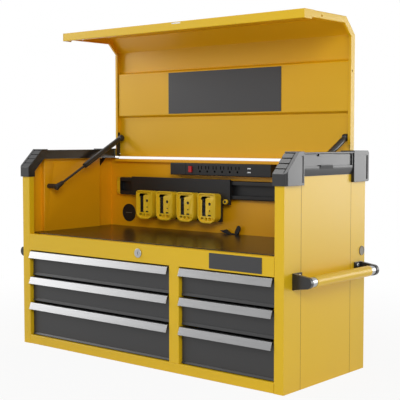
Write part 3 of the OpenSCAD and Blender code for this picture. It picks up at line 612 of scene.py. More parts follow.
class CHEST_OT_finishes(ChestOperator):
    """Makes the materials"""

    bl_idname = "chest.finishes"
    bl_label = "Finishes"

    BEVEL = 1177.1  # y + z inside the lid's bevel, in mm; more than anywhere on the cabinet
    # Painted shade: the tray's inside takes the tray tone, darker and more orange than the yellow
    # paint.
    TRAY_PAINTED_SHADE = ((-1, -182, 340), (519.9, 202.4, 603), 820)
    # Painted shade: the lid's inside and band take the lid tone, darker and more orange than the
    # yellow paint.
    LID_PAINTED_SHADE = ((-1, 100, 605), (479.4, 205.4, 971.8), BEVEL)
    # Painted light: under the lid's top and bevel the paint takes the brighter, more golden lid top
    # tone.
    LID_TOP_PAINTED_LIGHT = ((-1, -56, 971.8), (479.4, 205.4, 1018.9), BEVEL)

    def execute(self, context):
        c = self.colours
        zones = [(c.tray, *self.TRAY_PAINTED_SHADE), (c.lid, *self.LID_PAINTED_SHADE), (c.lid_top_painted_light, *self.LID_TOP_PAINTED_LIGHT)]
        # Partly painted shade: a narrow dark line down each side seam, for its shadow and its thin
        # paint.
        for y in (-SEAM_Y, SEAM_Y):
            low, high = (WALL_X - 1, y - 0.8, -1), (WALL_X + 0.5, y + 0.8, 640)
            zones.append((c.seam, low, high, self.BEVEL))
        powder_coat("yellow_paint", c.yellow, 0.34, 0.1, 0.45, zones)
        powder_coat("front_paint", c.front, 0.42, 0.10)
        powder_coat("black_steel", c.black, 0.38, 0.08)
        powder_coat("plate_dark", c.plate, 0.45, 0.05)
        moulded("cover_plastic", c.cover, 0.3, 0.06, 0.56)
        moulded("holder_plastic", c.holder, 0.42, 0.10)
        moulded("strip_plastic", c.strip, 0.42, 0.15, 0.3)
        moulded("red_plastic", c.red, 0.22, 0.04)
        moulded("plug_plastic", c.plug, 0.4, 0.10)
        rubber("mat_rubber", c.mat, 0.24)
        brushed("pull_metal", c.pull, 0.3, (0.02, 1.0, 1.0))
        plated("slide_steel", c.steel, 0.32)
        plated("bright_metal", c.bright, 0.2)
        plated("satin_metal", c.satin, 0.3)
        return {"FINISHED"}


class CHEST_OT_cabinet(ChestOperator):
    """Folds the cabinet's sheet steel"""

    bl_idname = "chest.cabinet"
    bl_label = "Cabinet"

    LINER_X = 504
    LINER = ((LINER_X, -SEAM_Y, 363.1), (519.2, 131, 604.5))
    LINER_HOLE = (LINER_X - 4, -82.5, 588.8)

    def execute(self, context):
        s = self.sizes
        for node in ("side_panels", "front_posts", "rear_posts"):
            obj = folded_sheet(node, s)
            for y in (-SEAM_Y, SEAM_Y):
                round_edges(obj, edge_at(x=WALL_X, y=y), s.seam, 2)
            dress(settle(obj, s.rim), "yellow_paint", node)
        for node in ("back_panel", "base_pan", "centre_partition", "fascia", "tray_floor"):
            dress(settle(folded_sheet(node, s), s.rim), "yellow_paint", node)
        self.liners()
        return {"FINISHED"}

    def liners(self):
        """Inner skins of the side walls, between the seams."""
        skin = block("side_liners", *self.LINER)
        cut(skin, [drum("bore", "x", self.LINER_HOLE, 8, 2.4, 20)])
        face = edge_at(x=self.LINER_X)
        round_edges(skin, lambda e: run(e, "z") > 100 and face(e), 2.5 * MM, 4)
        pair = on_both_sides(settle(skin, 0.3 * MM))
        attach(pair, "yellow_paint", "cabinet")


class CHEST_OT_lid(ChestOperator):
    """Folds the lid and its raised band, and bores the holes in its side flanges"""

    bl_idname = "chest.lid"
    bl_label = "Lid"

    FLANGE_X = 480
    FLANGE_HOLES = ((30, 1007.6, 3.4), (193, 866, 3.0))  # y, z and radius
    CORNER_X = 473.6
    SLOT = ((2, -60, 1013.6), (37, -54, 1017.4))
    CATCH_Y = -56.9
    TAB = ((-57.6, 994.2), (-22, 994.2), (-9, 1019.8), (-57.6, 1019.8))
    PIN = (196.5, 617.5)
    PIN_HEAD = 2

    def bores(self):
        """Cutters for the flanges' holes, the cut-back lower corners and the lip's slot."""
        tools = []
        for side in SIDES:
            for y, z, radius in self.FLANGE_HOLES:
                tools.append(drum("bore", "x", (side * self.FLANGE_X - 6, y, z), 12, radius, 20))
        for side in SIDES:
            x = side * self.CORNER_X
            tools.append(block("gap", (x - 4.9, 184, 605), (x + 4.9, 187.9, 652)))
        tools.append(block("slot", *self.SLOT))
        return tools

    def execute(self, context):
        s = self.sizes
        shell = folded_sheet("lid_shell", s, self.bores())
        dress(settle(shell, s.rim), "yellow_paint", "lid_shell")
        tab = prism("lid_tabs", "x", self.TAB, self.FLANGE_X - 0.1, self.FLANGE_X + 1.1)
        attach(on_both_sides(settle(tab, 0.35 * MM)), "yellow_paint", "lid")
        dress(settle(folded_sheet("lid_band", s), s.rim), "yellow_paint", "lid_band")
        self.pin_heads()
        self.catch()
        soften("lid_brackets", "black_steel", 0.5)
        soften("hinge_plates", "slide_steel", 0.4)
        return {"FINISHED"}

    def pin_heads(self):
        """Bright heads of the hinge pins, inside the lid's lower corners."""
        bracket = min(abs(v.co.x) for v in NODES["lid_brackets"].data.vertices) / MM
        inner = bracket - self.PIN_HEAD
        head = drum("hinge_pin_heads", "x", (inner, *self.PIN), self.PIN_HEAD + 0.2, 3.4, 24)
        round_edges(head, edge_at(x=inner), 1.0 * MM, 3)
        attach(on_both_sides(settle(head, 0)), "bright_metal", "lid")

    def catch(self):
        """The bright catch in the slot of the lid's lip."""
        plate = block("lid_catch", (1, self.CATCH_Y, 1012.8), (38, self.CATCH_Y + 2.3, 1017.9))
        round_edges(plate, edge_at(y=self.CATCH_Y), 0.5 * MM, 3)
        attach(settle(plate, 0), "bright_metal", "lid")


class CHEST_OT_covers(ChestOperator):
    """Shapes the plastic caps and trims along the top edges"""

    bl_idname = "chest.covers"
    bl_label = "Covers"

    CAP_Y = 208
    CAP_TOP = 636
    REAR_CAP_FOOT = 547
    SLOPE_FOOT = 578
    SLOPE_RUN = 51
    SLOPE_LEAN = 7
    SLOPE_LINE = ((-208, 582), (-155.5, 634.5), (-152, 632), (-204.5, 579.5))
    SLOPE_LINE_X = 519.2
    FRONT_SLOT = ((-137, 553), (-130, 553), (-130, 624), (-143, 624), (-143, 619.5), (-137, 619.5))
    REAR_SLOT = ((192, 554), (199.5, 554), (199.5, 622.5), (192, 622.5))
    OLD_GUSSET_X = 503
    GUSSET = ((489, 604), (519, 576), (519, 606.5), (489, 606.5))
    GUSSET_FOOT = ((482, 190, 600.1), (491, 203, 604.2))
    TRIM_X = 527.4
    TRIM_POCKET = (
        (-121, 595.5), (119, 595.5), (119, 626.5), (26, 626.5),
        (20, 622), (-50, 622), (-56, 626.5), (-121, 626.5),
    )
    TRIM_LINES_Z = (595.2, 625.8)
    TRIM_TAB = ((524, 587.4), (527, 587.2), (529.8, 597.4), (529.2, 598.2), (524, 598.2))
    TRIM_TAB_Y = (-50, 20)
    TRIM_TAB_FOOT = 587.4

    def front_caps(self):
        s = self.sizes
        obj = solid_copy("front_caps")
        self.lean_back(obj)
        round_edges(obj, edge_at(x=CAP_X, y=-self.CAP_Y), s.cap_corner, 6)
        round_edges(obj, edge_at(x=CAP_X), s.cap_edge, 4)
        slots = []
        for side in SIDES:
            x = side * (CAP_X + 0.5)
            slots.append(prism("slot", "x", self.FRONT_SLOT, x - 2.2, x + 2.2))
            x = side * self.SLOPE_LINE_X
            slots.append(prism("line", "x", self.SLOPE_LINE, x - 0.8, x + 0.8))
        dress(settle(cut(obj, slots), 0.6 * MM), "cover_plastic", "front_caps")

    def lean_back(self, obj):
        """Leans the caps' grooved slope further back towards its top."""
        rise = self.CAP_TOP - self.SLOPE_FOOT
        for vert in obj.data.vertices:
            share = (vert.co.z / MM - self.SLOPE_FOOT) / rise
            slope_y = self.SLOPE_RUN * share - self.CAP_Y
            if share > 0 and vert.co.y / MM < slope_y + 4:
                vert.co.y += self.SLOPE_LEAN * MM * share

    def rear_caps(self):
        obj = solid_copy("rear_caps")
        places = [side * self.OLD_GUSSET_X for side in SIDES]
        cut(obj, [block("gusset", (x - 17, 188, 560), (x + 17, 202, 604)) for x in places])
        round_edges(obj, edge_at(y=self.CAP_Y, z=self.CAP_TOP), 7 * MM, 5)
        round_edges(obj, edge_at(y=self.CAP_Y, z=self.REAR_CAP_FOOT), 5 * MM, 4)
        round_edges(obj, edge_at(x=CAP_X), self.sizes.cap_edge, 4)
        slots = []
        for side in SIDES:
            x = side * (CAP_X + 0.5)
            slots.append(prism("slot", "x", self.REAR_SLOT, x - 3.2, x + 3.2))
            slots.append(block("line", (x - 1.3, 131, 622.6), (x + 1.3, 191, 623.8)))
        dress(settle(cut(obj, slots), 0.5 * MM), "cover_plastic", "rear_caps")
        gusset = settle(prism("cap_gussets", "y", self.GUSSET, 144.5, 147.5), 0.4 * MM)
        foot = settle(block("foot", *self.GUSSET_FOOT), 0.4 * MM)
        pair = on_both_sides(joined("cap_gussets", [gusset, foot]))
        attach(pair, "cover_plastic", "cabinet")

    def side_trims(self):
        obj = solid_copy("side_trims")
        places = [side * self.TRIM_X for side in SIDES]
        cut(obj, [prism("pocket", "x", self.TRIM_POCKET, x - 4, x + 4) for x in places])
        notches = []
        for x in places:
            notches.append(block("notch", (x - 5, -58, 624), (x + 5, -51, 628)))
            for z in self.TRIM_LINES_Z:
                notches.append(block("line", (x - 5.2, 28, z), (x + 5.2, 118, z + 1.5)))
        dress(settle(cut(obj, notches), 0.4 * MM), "cover_plastic", "side_trims")
        self.trim_tabs()

    def trim_tabs(self):
        """Raised tabs under the trims' pockets, narrower towards their top."""
        tab = prism("trim_tabs", "y", self.TRIM_TAB, *self.TRIM_TAB_Y)
        middle = sum(self.TRIM_TAB_Y) / 2 * MM
        for vert in tab.data.vertices:
            taper = 0.5 if vert.co.y < middle else -0.5
            vert.co.y += (vert.co.z - self.TRIM_TAB_FOOT * MM) * taper
        tabs = on_both_sides(settle(tab, 0.4 * MM))
        attach(tabs, "cover_plastic", "cabinet")

    def execute(self, context):
        self.front_caps()
        self.rear_caps()
        self.side_trims()
        return {"FINISHED"}


class CHEST_OT_drawers(ChestOperator):
    """Folds the six drawers, with a groove over the hem of each front"""

    bl_idname = "chest.drawers"
    bl_label = "Drawers"

    FRONT_Y = -190
    HEM = 6
    HEM_BACK_Y = -188
    HEM_NOSE_Y = -192

    def groove(self, obj, low, high):
        """Cuts a groove across the front, over its hem."""
        low, high = low / MM, high / MM
        over = low.z + self.HEM
        start = (low.x - 1, self.FRONT_Y - 2, over + 0.3)
        end = (high.x + 1, self.FRONT_Y + 0.8, over + 1.9)
        cut(obj, [block("groove", start, end)])

    def lower_hem(self, obj, foot):
        """Draws the hem of an upper drawer down towards the pull below, and flattens it."""
        for vert in obj.data.vertices:
            if vert.co.z < foot + 2 * MM and vert.co.y < self.HEM_BACK_Y * MM:
                vert.co.z -= self.sizes.hem_drop
                if vert.co.y < self.HEM_NOSE_Y * MM:
                    vert.co.y += self.sizes.hem_flat

    def execute(self, context):
        for name in DRAWERS:
            node = "drawer_" + name
            low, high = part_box(node)
            obj = solid_copy(node)
            self.groove(obj, low, high)
            if not name.endswith("bottom"):
                self.lower_hem(obj, low.z)
            dress(settle(obj, self.sizes.rim), "front_paint", node)
        return {"FINISHED"}


class CHEST_OT_pulls(ChestOperator):
    """Rounds the extruded drawer pulls"""

    bl_idname = "chest.pulls"
    bl_label = "Pulls"

    NOSE_Y = -204

    def execute(self, context):
        for name in DRAWERS:
            node = "pull_" + name
            obj = solid_copy(node)
            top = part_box(node)[1].z / MM
            round_edges(obj, edge_at(y=self.NOSE_Y, z=top), self.sizes.pull_nose, 5)
            dress(settle(obj, 0.5 * MM), "pull_metal", node)
        return {"FINISHED"}


class CHEST_OT_slides(ChestOperator):
    """Breaks the edges of the drawer slides"""

    bl_idname = "chest.slides"
    bl_label = "Slides"

    def execute(self, context):
        moving = [f"{kind}_{name}" for kind in ("slide_inner", "slide_middle") for name in DRAWERS]
        for node in ["slide_outers", *moving]:
            soften(node, "slide_steel", 0.25)
        return {"FINISHED"}


class CHEST_OT_handles(ChestOperator):
    """Shapes the end handles: brackets, bars, collars and screws"""

    bl_idname = "chest.handles"
    bl_label = "Handles"

    MIDDLE_Y, MIDDLE_Z = 9, 295
    SCREW_Y, SCREW_Z = 149, 14  # from the handle's middle
    SCREW_X = 525.5
    SCREW_HEAD = 2.5

    def execute(self, context):
        soften("handle_brackets", "cover_plastic", 1.6, 3)
        soften("handle_bars", "yellow_paint", 0.8, 3)
        soften("handle_collars", "satin_metal", 0.8, 3)
        head = drum("screw", "x", (self.SCREW_X, 0, 0), self.SCREW_HEAD, 5)
        round_edges(head, edge_at(x=self.SCREW_X + self.SCREW_HEAD), 1.4 * MM, 3)
        cut(head, [drum("socket", "x", (self.SCREW_X + 1.1, 0, 0), 4, 2.3, 6)])
        settle(head, 0.2 * MM)
        places = [
            (0, self.MIDDLE_Y + back * self.SCREW_Y, self.MIDDLE_Z + up * self.SCREW_Z)
            for back in SIDES for up in SIDES
        ]
        screws = on_both_sides(row_of("handle_screws_skin", head, places))
        dress(settle(screws, 0), "slide_steel", "handle_screws")
        return {"FINISHED"}


class CHEST_OT_lock(ChestOperator):
    """Turns the lock and sets the bare plates"""

    bl_idname = "chest.lock"
    bl_label = "Lock and plates"

    FLANGE_FROM = 11.5  # what lies further out than this belongs to the flange

    def execute(self, context):
        barrel = solid_copy("lock_barrel")
        self.widen(barrel)
        dress(settle(barrel, 0.9 * MM, 3), "satin_metal", "lock_barrel")
        soften("lock_plug", "satin_metal", 0.4)
        for node in ("fascia_plate", "lid_plate"):
            soften(node, "plate_dark", 0.5)
        return {"FINISHED"}

    def widen(self, barrel):
        """Widens the barrel's flange in front of the fascia."""
        low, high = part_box("lock_barrel")
        middle = (low + high) / 2
        for vert in barrel.data.vertices:
            out = Vector((vert.co.x - middle.x, 0, vert.co.z - middle.z))
            if out.length > self.FLANGE_FROM * MM:
                vert.co += out.normalized() * (self.sizes.lock_flange - out.length)


class CHEST_OT_struts(ChestOperator):
    """Turns the gas struts and their wall brackets"""

    bl_idname = "chest.struts"
    bl_label = "Struts"

    STRUT_ANGLE = math.radians(28.272)
    WALL_PIVOT = (460, -106, 513)
    LID_STUD = (451, 191.5, 673)

    def execute(self, context):
        soften("strut_brackets", "black_steel", 1.2, 3)
        soften("strut_tubes", "black_steel", 1.2, 3)
        soften("strut_rods", "black_steel", 0.8, 3)
        self.sockets()
        self.ball_ends()
        return {"FINISHED"}

    def sockets(self):
        """Rod ends: a tapered socket on each rod, turned round the rod's line."""
        bpy.ops.object.select_all(action="DESELECT")
        bpy.ops.mesh.primitive_cone_add(
            vertices=32, radius1=10.4 * MM, radius2=6.2 * MM, depth=38 * MM,
            location=(0, 0, 9 * MM))
        socket = put_down(bpy.context.object, "strut_sockets")
        round_edges(socket, lambda e: run(e, "z") < ACROSS, 1.8 * MM, 4)
        socket.rotation_euler = (self.STRUT_ANGLE - math.pi / 2, 0, 0)
        socket.location = Vector(self.WALL_PIVOT) * MM
        put_down(socket, "strut_sockets")
        pair = on_both_sides(settle(socket, 0))
        attach(pair, "black_steel", "strut_rods")

    def ball_ends(self):
        """Tube ends: a rounded socket over the stud on each side of the lid."""
        ball = drum("strut_ball_ends", "x", self.LID_STUD, 17, 11.2, 40)
        round_edges(ball, lambda e: run(e, "x") < ACROSS, 5.5 * MM, 6)
        attach(on_both_sides(settle(ball, 0)), "black_steel", "strut_tubes")


class CHEST_OT_power_strip(ChestOperator):
    """Moulds the power strip with its outlets, and its rocker and ports"""

    bl_idname = "chest.power_strip"
    bl_label = "Power strip"

    WALL = 3
    SEAM_X = (-139.6, -138)
    ROCKER = (-125.5, -110.5, 11)  # left, right and half its height
    OUTLETS = 6
    OUTLET_PITCH = 31
    BLADE_X = 6.35
    USB_X = 124
    USB_Z = 6

    def housing(self, low, high):
        """The hollow case, with its front edges rounded."""
        obj = block("power_strip_skin", low, high)
        front, end = edge_at(y=low.y), edge_at(x=high.x)
        round_edges(obj, lambda e: run(e, "x") > 50 and front(e), 3 * MM, 5)
        round_edges(obj, lambda e: run(e, "x") < 50 and end(e), 1.0 * MM, 3)
        wall = Vector((self.WALL,) * 3)
        return cut(obj, [block("hollow", low + wall, high - wall)])

    def gaps(self, low, high, mid):
        """Cutters for the seam, the rocker's opening, the outlets and the ports."""
        face, out, deep = low.y, low.y - 2, low.y + 5
        left, right = self.SEAM_X
        tools = [block("seam", (left, out, low.z - 2), (right, face + 1.2, high.z + 2))]
        left, right, half = self.ROCKER
        tools.append(block("gap", (left, out, mid - half), (right, deep, mid + half)))
        for i in range(self.OUTLETS):
            x = (i - (self.OUTLETS - 1) / 2) * self.OUTLET_PITCH
            for blade in (x - self.BLADE_X, x + self.BLADE_X):
                slit = (blade - 1.8, out, mid + 0.5), (blade + 1.8, deep, mid + 11)
                tools.append(block("slit", *slit))
            tools.append(drum("earth", "y", (x, out, mid - 6.5), 7, 3.7, 20))
        x = self.USB_X
        for z in (mid - self.USB_Z, mid + self.USB_Z):
            tools.append(block("port", (x - 7, out, z - 2), (x + 7, deep, z + 2)))
        return tools

    def port(self, face, z):
        """A port's shell and the tongue in it."""
        x = self.USB_X
        shell = block("port", (x - 6.9, face - 0.6, z - 1.9), (x + 6.9, face + 6, z + 1.9))
        with editing(shell):
            sink(shell, -1, 0.7 * MM, 5 * MM)
        tongue = block("tongue", (x - 5.6, face - 0.2, z - 0.7), (x + 5.6, face + 5.8, z + 0.9))
        return [shell, tongue]

    def execute(self, context):
        low, high = (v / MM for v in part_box("power_strip"))
        mid = (low.z + high.z) / 2
        strip = cut(self.housing(low, high), self.gaps(low, high, mid))
        dress(settle(strip, 0.2 * MM), "strip_plastic", "power_strip")
        soften("rocker_switch", "red_plastic", 1.2, 3)
        ports = self.port(low.y, mid - self.USB_Z) + self.port(low.y, mid + self.USB_Z)
        shells = settle(joined("usb_ports", ports), 0.12 * MM)
        attach(shells, "bright_metal", "cabinet")
        return {"FINISHED"}


class CHEST_OT_rail(ChestOperator):
    """Shapes the holder rail and its carriage"""

    bl_idname = "chest.rail"
    bl_label = "Holder rail"

    TAB_X = (457.5, 480)
    TAB_Y = (190, 201.9)
    TAB_HOLE_X = 474
    TAB_HOLE_IN = 14

    def execute(self, context):
        low, high = (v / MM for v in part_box("holder_rail"))
        rail = solid_copy("holder_rail")
        for z in (low.z, high.z):
            round_edges(rail, edge_at(y=low.y, z=z), self.sizes.rail_edge, 4)
        dress(settle(rail, 0.6 * MM, 3), "strip_plastic", "holder_rail")
        (x0, x1), (y0, y1) = self.TAB_X, self.TAB_Y
        tab = block("rail_tabs", (x0, y0, low.z), (x1, y1, high.z))
        heights = (low.z + self.TAB_HOLE_IN, high.z - self.TAB_HOLE_IN)
        cut(tab, [drum("hole", "y", (self.TAB_HOLE_X, y0 - 2, z), 8, 2.2, 16) for z in heights])
        tabs = on_both_sides(settle(tab, 0.4 * MM))
        attach(tabs, "holder_plastic", "cabinet")
        soften("holder_carriage", "strip_plastic", 0.9, 3)
        return {"FINISHED"}


class CHEST_OT_holders(ChestOperator):
    """Moulds one battery holder and sets four of them on the carriage"""

    bl_idname = "chest.holders"
    bl_label = "Battery holders"

    COUNT = 4
    PITCH = 92
    WIDTH = 75
    TOP_CORNER = 11
    FOOT_CORNER = 25
    HOLES_X = 9.5
    BIG_HOLE_Z = 13.5
    SMALL_HOLE_Z = -8.5
    SLOT = (
        (-22, -26.5), (-5, -26.5), (-5, -23), (-7, -23),
        (-7, 30.5), (-26, 30.5), (-26, 27), (-22, 27),
    )
    # Corners on the face, x and z of the lower left and of the upper right one
    CONTACTS = ((-21.5, 21, -14, 30), (-21, 4, -8, 19), (-21.5, -10, -12, 2), (-21, -26, -8, -12))
    MARKS = (
        (-26, -36, -15, -31), (-11, -41, 0, -31), (4, -41, 17, -31), (19.5, -39, 26, -32.5),
        (-22, 34, -14, 37.5), (-8, 33.5, 0, 38), (6, 34.5, 12, 38),
    )

    def shell(self, height, y0, y1):
        """The holder's body about the origin: a rim round a sunk face, and a narrower back."""
        s = self.sizes
        step = y0 + s.holder_step / MM
        outline = rounded_outline(self.WIDTH, height, self.TOP_CORNER, self.FOOT_CORNER)
        obj = prism("holder", "y", outline, y0, step)
        with editing(obj):
            sink(obj, 1, 1.6 * MM, (y1 - step) * MM)
            sink(obj, -1, s.holder_rim, s.holder_sink)
        round_edges(obj, edge_at(y=y0), 1.3 * MM, 3)
        return obj

    def holes(self, y0, y1):
        """Cutters right through the holder: its slot and three holes."""
        x, out, long = self.HOLES_X, y0 - 2, y1 - y0 + 4
        return [
            prism("slot", "y", self.SLOT, out, y1 + 2),
            drum("hole", "y", (x, out, self.BIG_HOLE_Z), long, 5.4, 24),
            drum("hole", "y", (x, out, self.SMALL_HOLE_Z), long, 2.8, 16),
            block("hole", (x - 6.5, out, -26), (x + 6, y1 + 2, -21)),
        ]

    def contact(self, face, back):
        """The dark block of spring contacts behind a holder's slot, and the plugs in its holes."""
        outline = [(x * 0.985, z * 0.99) for x, z in self.SLOT]
        core = prism("contact", "y", outline, face + 0.7, back - 0.5)
        with editing(core):
            sink(core, -1, 0.9 * MM, 14 * MM)
        leaves = [core]
        for x0, z0, x1, z1 in self.CONTACTS:
            leaf = block("leaf", (x0, face + 2.6, z0), (x1, face + 6, z1))
            round_edges(leaf, lambda e: True, 0.7 * MM, 2)
            leaves.append(leaf)
        x = self.HOLES_X
        for z, radius in ((self.BIG_HOLE_Z, 5.1), (self.SMALL_HOLE_Z, 2.6)):
            pin = drum("pin", "y", (x, face + 1.0, z), 6, radius, 20)
            with editing(pin):
                pick_faces(pin, "y", -1)
                bpy.ops.mesh.inset(thickness=radius * 0.4 * MM, depth=-1.2 * MM)
            leaves.append(pin)
        leaves.append(block("tongue", (x - 6.2, face + 1, -25.7), (x + 5.7, face + 8, -21.3)))
        return settle(joined("contact", leaves), 0.2 * MM)

    def execute(self, context):
        low, high = (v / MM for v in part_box("battery_holders"))
        y0, y1 = low.y, high.y
        face = y0 + self.sizes.holder_sink / MM
        holder = self.shell(high.z - low.z, y0, y1)
        cut(holder, self.holes(y0, y1))
        marks = [((a, face - 2, b), (c, face + 6, d)) for a, b, c, d in self.MARKS]
        cut(holder, [block("mark", *corners) for corners in marks])
        settle(holder, 0.3 * MM)
        first = Vector((low.x + self.WIDTH / 2, 0, (low.z + high.z) / 2))
        places = [first + Vector((self.PITCH * i, 0, 0)) for i in range(self.COUNT)]
        row = row_of("battery_holders_skin", holder, places)
        dress(row, "holder_plastic", "battery_holders")
        row = row_of("holder_contacts", self.contact(face, y1), places)
        attach(row, "strip_plastic", BODY_OF["battery_holders"])
        return {"FINISHED"}


class CHEST_OT_small_parts(ChestOperator):
    """Shapes the tray mat, knob, grommet, plugs and cleat"""

    bl_idname = "chest.small_parts"
    bl_label = "Small parts"

    GROMMET = (-430, 410)
    GROMMET_Y = 198.8
    PLUG = (186, 347)
    PLUG_THICK = 2.6
    CLEAT = (38, 191, 363)
    LEAF = ((-44, 10.5), (-30, 11.5), (-21, 14.5), (-10, 8), (2, 1), (-12, 0.3), (-28, 3.5))

    def knob(self):
        obj = solid_copy("carriage_knob")
        low, high = (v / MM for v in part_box("carriage_knob"))
        x, y, z = (low.x + high.x) / 2, low.y, (low.z + high.z) / 2
        round_edges(obj, edge_at(y=y), 1.5 * MM, 4)
        cut(obj, [drum("recess", "y", (x, y - 1, z), 4.6, 5.2)])
        dress(settle(obj, 0.25 * MM), "holder_plastic", "carriage_knob")
        bolt = drum("knob_bolt", "y", (x, y + 1.6, z), 2.6, 4.9, 24)
        cut(bolt, [drum("socket", "y", (x, y, z), 3.2, 2.4, 6)])
        attach(settle(bolt, 0.3 * MM), "black_steel", BODY_OF["carriage_knob"])

    def grommet(self):
        (x, z), y = self.GROMMET, self.GROMMET_Y
        disc = drum("cable_plugs_skin", "y", (x, y, z), 3, 31, 64)
        with editing(disc):
            sink(disc, -1, 4 * MM, 1.0 * MM)
            sink(disc, 1, 4.4 * MM, 1.2 * MM)
        round_edges(disc, edge_at(y=y), 0.9 * MM, 3)
        dress(settle(disc, 0.2 * MM), "strip_plastic", "cable_plugs")
        # Painted highlight: a light grey strip across the grommet's middle stands for the glint on
        # its slit.
        lip = block("cable_plug_painted_glint", (x - 15, y + 0.1, z - 0.8), (x + 15, y + 1.6, z + 0.8))
        round_edges(lip, edge_at(y=y + 0.1), 0.6 * MM, 3)
        attach(settle(lip, 0), "plug_plastic", "cabinet")

    def plugs(self):
        start = WALL_X - 0.1
        obj = drum("side_plug", "x", (start, *self.PLUG), self.PLUG_THICK, 13.5, 48)
        with editing(obj):
            pick_faces(obj, "x", 1)
            bpy.ops.mesh.inset(thickness=2.2 * MM, depth=0)
            bpy.ops.mesh.inset(thickness=1.2 * MM, depth=-0.9 * MM)
        round_edges(obj, edge_at(x=start + self.PLUG_THICK), 0.8 * MM, 3)
        attach(on_both_sides(settle(obj, 0)), "plug_plastic", "cabinet")

    def raised_wing(self, long, wide, at):
        """The cleat's oval wing, which leans out from its foot."""
        outline = rounded_outline(wide, long, wide / 2 - 0.2, wide / 2 - 1.5, 6)
        obj = prism("wing", "y", [(x, z + long / 2 - 2) for x, z in outline], -1.8, 1.8)
        round_edges(obj, lambda e: run(e, "y") < ACROSS, 1.2 * MM, 3)
        obj.rotation_euler = (0, math.radians(31), math.radians(-6))
        obj.location = Vector(at) * MM
        return put_down(obj, "wing")

    def cleat(self):
        x, y, z = self.CLEAT
        foot = block("foot", (x - 6, y - 7, z), (x + 27, y + 7, z + 3))
        round_edges(foot, lambda e: True, 1.3 * MM, 3)
        right = self.raised_wing(33, 17, (x + 19, y, z + 1.5))
        left = prism("wing", "y", [(x + a, z + b) for a, b in self.LEAF], y - 5, y + 5)
        settle(left, 0.8 * MM, 3)
        cleat = joined("cord_cleat_skin", [foot, right, left])
        dress(settle(cleat, 0), "strip_plastic", "cord_cleat")

    def execute(self, context):
        soften("tray_mat", "mat_rubber", 0.8, 3)
        self.knob()
        self.grommet()
        self.plugs()
        self.cleat()
        return {"FINISHED"}


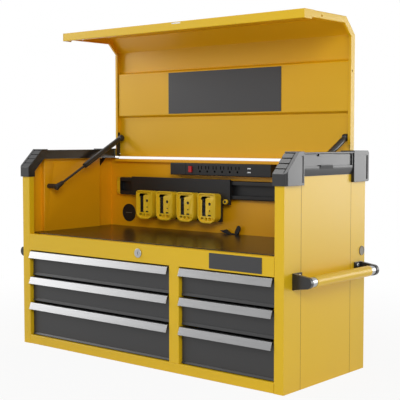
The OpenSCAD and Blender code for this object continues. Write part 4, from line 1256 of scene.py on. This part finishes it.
class CHEST_OT_stage(ChestOperator):
    """Sets the floor, the lights and the camera"""

    bl_idname = "chest.stage"
    bl_label = "Stage"

    CAMERA_AT = (1.9337, -2.2218, 0.6655)
    CAMERA_TURN = math.radians(40.046)
    CAMERA_DROP = math.radians(3.582)
    CAMERA_LENS = 86.02
    CAMERA_SENSOR = 36
    FLOOR_RADIUS = 60
    FLOOR_GREY = 0.86
    FLOOR_FADE = {"From Min": 0.5, "From Max": 1.9, "To Min": 0.9, "To Max": 1.0}
    WORLD_LIGHT = 0.23
    # Name, place, aim and size in metres, and power in watts
    SOFTBOXES = (
        ("softbox_left", (-4.94, -2.3, 2.4), (0.0, 0.0, 0.6), (3.2, 2.3), 101),
        ("softbox_right", (2.1, 2.4, 0.8), (0.5, 0.0, 0.5), (1.35, 1.3), 25),
        ("softbox_front", (2.1, -2.3, 1.7), (0.0, 0.0, 0.45), (1.4, 1.0), 36),
        ("softbox_top", (-1.2, -0.3, 3.05), (0.3, -0.1, 0.5), (1.1, 0.9), 12),
    )

    def seen_plain(self, tree):
        """1 for the rays that see the background itself, 0 for the rays that carry its light."""
        path = tree.nodes.new("ShaderNodeLightPath")
        seen = [Wire(tree, path.outputs[name]) for name in
                ("Is Camera Ray", "Is Glossy Ray", "Is Transmission Ray")]
        return seen[0].math("MAXIMUM", seen[0].math("MAXIMUM", seen[0], seen[1]), seen[2])

    def floor(self):
        """A pale floor that takes the chest's shadow and turns plain white away from it."""
        bpy.ops.object.select_all(action="DESELECT")
        bpy.ops.mesh.primitive_circle_add(vertices=64, radius=self.FLOOR_RADIUS, fill_type="NGON")
        obj = put_down(bpy.context.object, "floor")
        material = bpy.data.materials.new("floor_white")
        material.use_nodes = True
        tree = material.node_tree
        tree.nodes.remove(tree.nodes["Principled BSDF"])
        plain = self.seen_plain(tree)
        place = Wire(tree, tree.nodes.new("ShaderNodeTexCoord").outputs["Object"])
        away = place.node("ShaderNodeVectorMath", {"operation": "LENGTH"}, {0: place}, "Value")
        fade = away.node(
            "ShaderNodeMapRange", {"interpolation_type": "SMOOTHSTEP"},
            {"Value": away, **self.FLOOR_FADE})
        white = plain.node("ShaderNodeEmission", None, {"Color": (1, 1, 1, 1), "Strength": 1.0})
        grey = (*(self.FLOOR_GREY,) * 3, 1)
        matt = plain.node("ShaderNodeBsdfDiffuse", None, {"Color": grey})
        mixed = plain.node("ShaderNodeMixShader", None, {0: plain * fade, 1: matt, 2: white})
        tree.links.new(mixed.socket, tree.nodes["Material Output"].inputs["Surface"])
        obj.data.materials.append(material)

    def world(self):
        """Even light from all round, seen as plain white."""
        world = bpy.data.worlds.new("studio")
        bpy.context.scene.world = world
        world.use_nodes = True
        tree = world.node_tree
        plain = self.seen_plain(tree)
        background = tree.nodes["Background"]
        background.inputs["Color"].default_value = (1, 1, 1, 1)
        strength = self.WORLD_LIGHT + (1 - self.WORLD_LIGHT) * plain
        tree.links.new(strength.socket, background.inputs["Strength"])

    def softbox(self, name, at, aim, size, power):
        bpy.ops.object.light_add(type="AREA", location=at)
        lamp = bpy.context.object
        lamp.name = name
        lamp.data.shape = "RECTANGLE"
        lamp.data.size, lamp.data.size_y = size
        lamp.data.energy = power
        lamp.visible_camera = False
        lamp.rotation_euler = (Vector(aim) - Vector(at)).to_track_quat("-Z", "Y").to_euler()

    def camera(self):
        bpy.ops.object.camera_add(location=self.CAMERA_AT)
        camera = bpy.context.object
        turn, drop = self.CAMERA_TURN, self.CAMERA_DROP
        ahead = Vector((
            -math.sin(turn) * math.cos(drop), math.cos(turn) * math.cos(drop), -math.sin(drop)))
        camera.rotation_euler = ahead.to_track_quat("-Z", "Y").to_euler()
        camera.data.sensor_fit = "HORIZONTAL"
        camera.data.sensor_width = self.CAMERA_SENSOR
        camera.data.lens = self.CAMERA_LENS
        camera.data.clip_end = 200
        bpy.context.scene.camera = camera

    def execute(self, context):
        self.floor()
        self.world()
        for softbox in self.SOFTBOXES:
            self.softbox(*softbox)
        self.camera()
        context.scene.view_settings.view_transform = "Standard"
        return {"FINISHED"}


OPERATORS = (
    CHEST_OT_finishes, CHEST_OT_cabinet, CHEST_OT_lid, CHEST_OT_covers, CHEST_OT_drawers,
    CHEST_OT_pulls, CHEST_OT_slides, CHEST_OT_handles, CHEST_OT_lock, CHEST_OT_struts,
    CHEST_OT_power_strip, CHEST_OT_rail, CHEST_OT_holders, CHEST_OT_small_parts, CHEST_OT_stage,
)


class CHEST_PT_panel(bpy.types.Panel):
    """Lists the chest's operators, sizes and colours"""

    bl_label = "Tool Chest"
    bl_idname = "CHEST_PT_panel"
    bl_space_type = "VIEW_3D"
    bl_region_type = "UI"
    bl_category = "Tool Chest"

    def draw(self, context):
        for operator in OPERATORS:
            self.layout.operator(operator.bl_idname)
        for group in (context.scene.chest_sizes, context.scene.chest_colours):
            column = self.layout.column()
            for name in group.__annotations__:
                column.prop(group, name)


CLASSES = (ChestSizes, ChestColours, *OPERATORS, CHEST_PT_panel)


def register():
    for cls in CLASSES:
        bpy.utils.register_class(cls)
    bpy.types.Scene.chest_sizes = bpy.props.PointerProperty(type=ChestSizes)
    bpy.types.Scene.chest_colours = bpy.props.PointerProperty(type=ChestColours)


def unregister():
    del bpy.types.Scene.chest_colours
    del bpy.types.Scene.chest_sizes
    for cls in reversed(CLASSES):
        bpy.utils.unregister_class(cls)


def main():
    register()
    for operator in OPERATORS:
        group, name = operator.bl_idname.split(".")
        getattr(getattr(bpy.ops, group), name)()


if __name__ == "__main__":
    main()
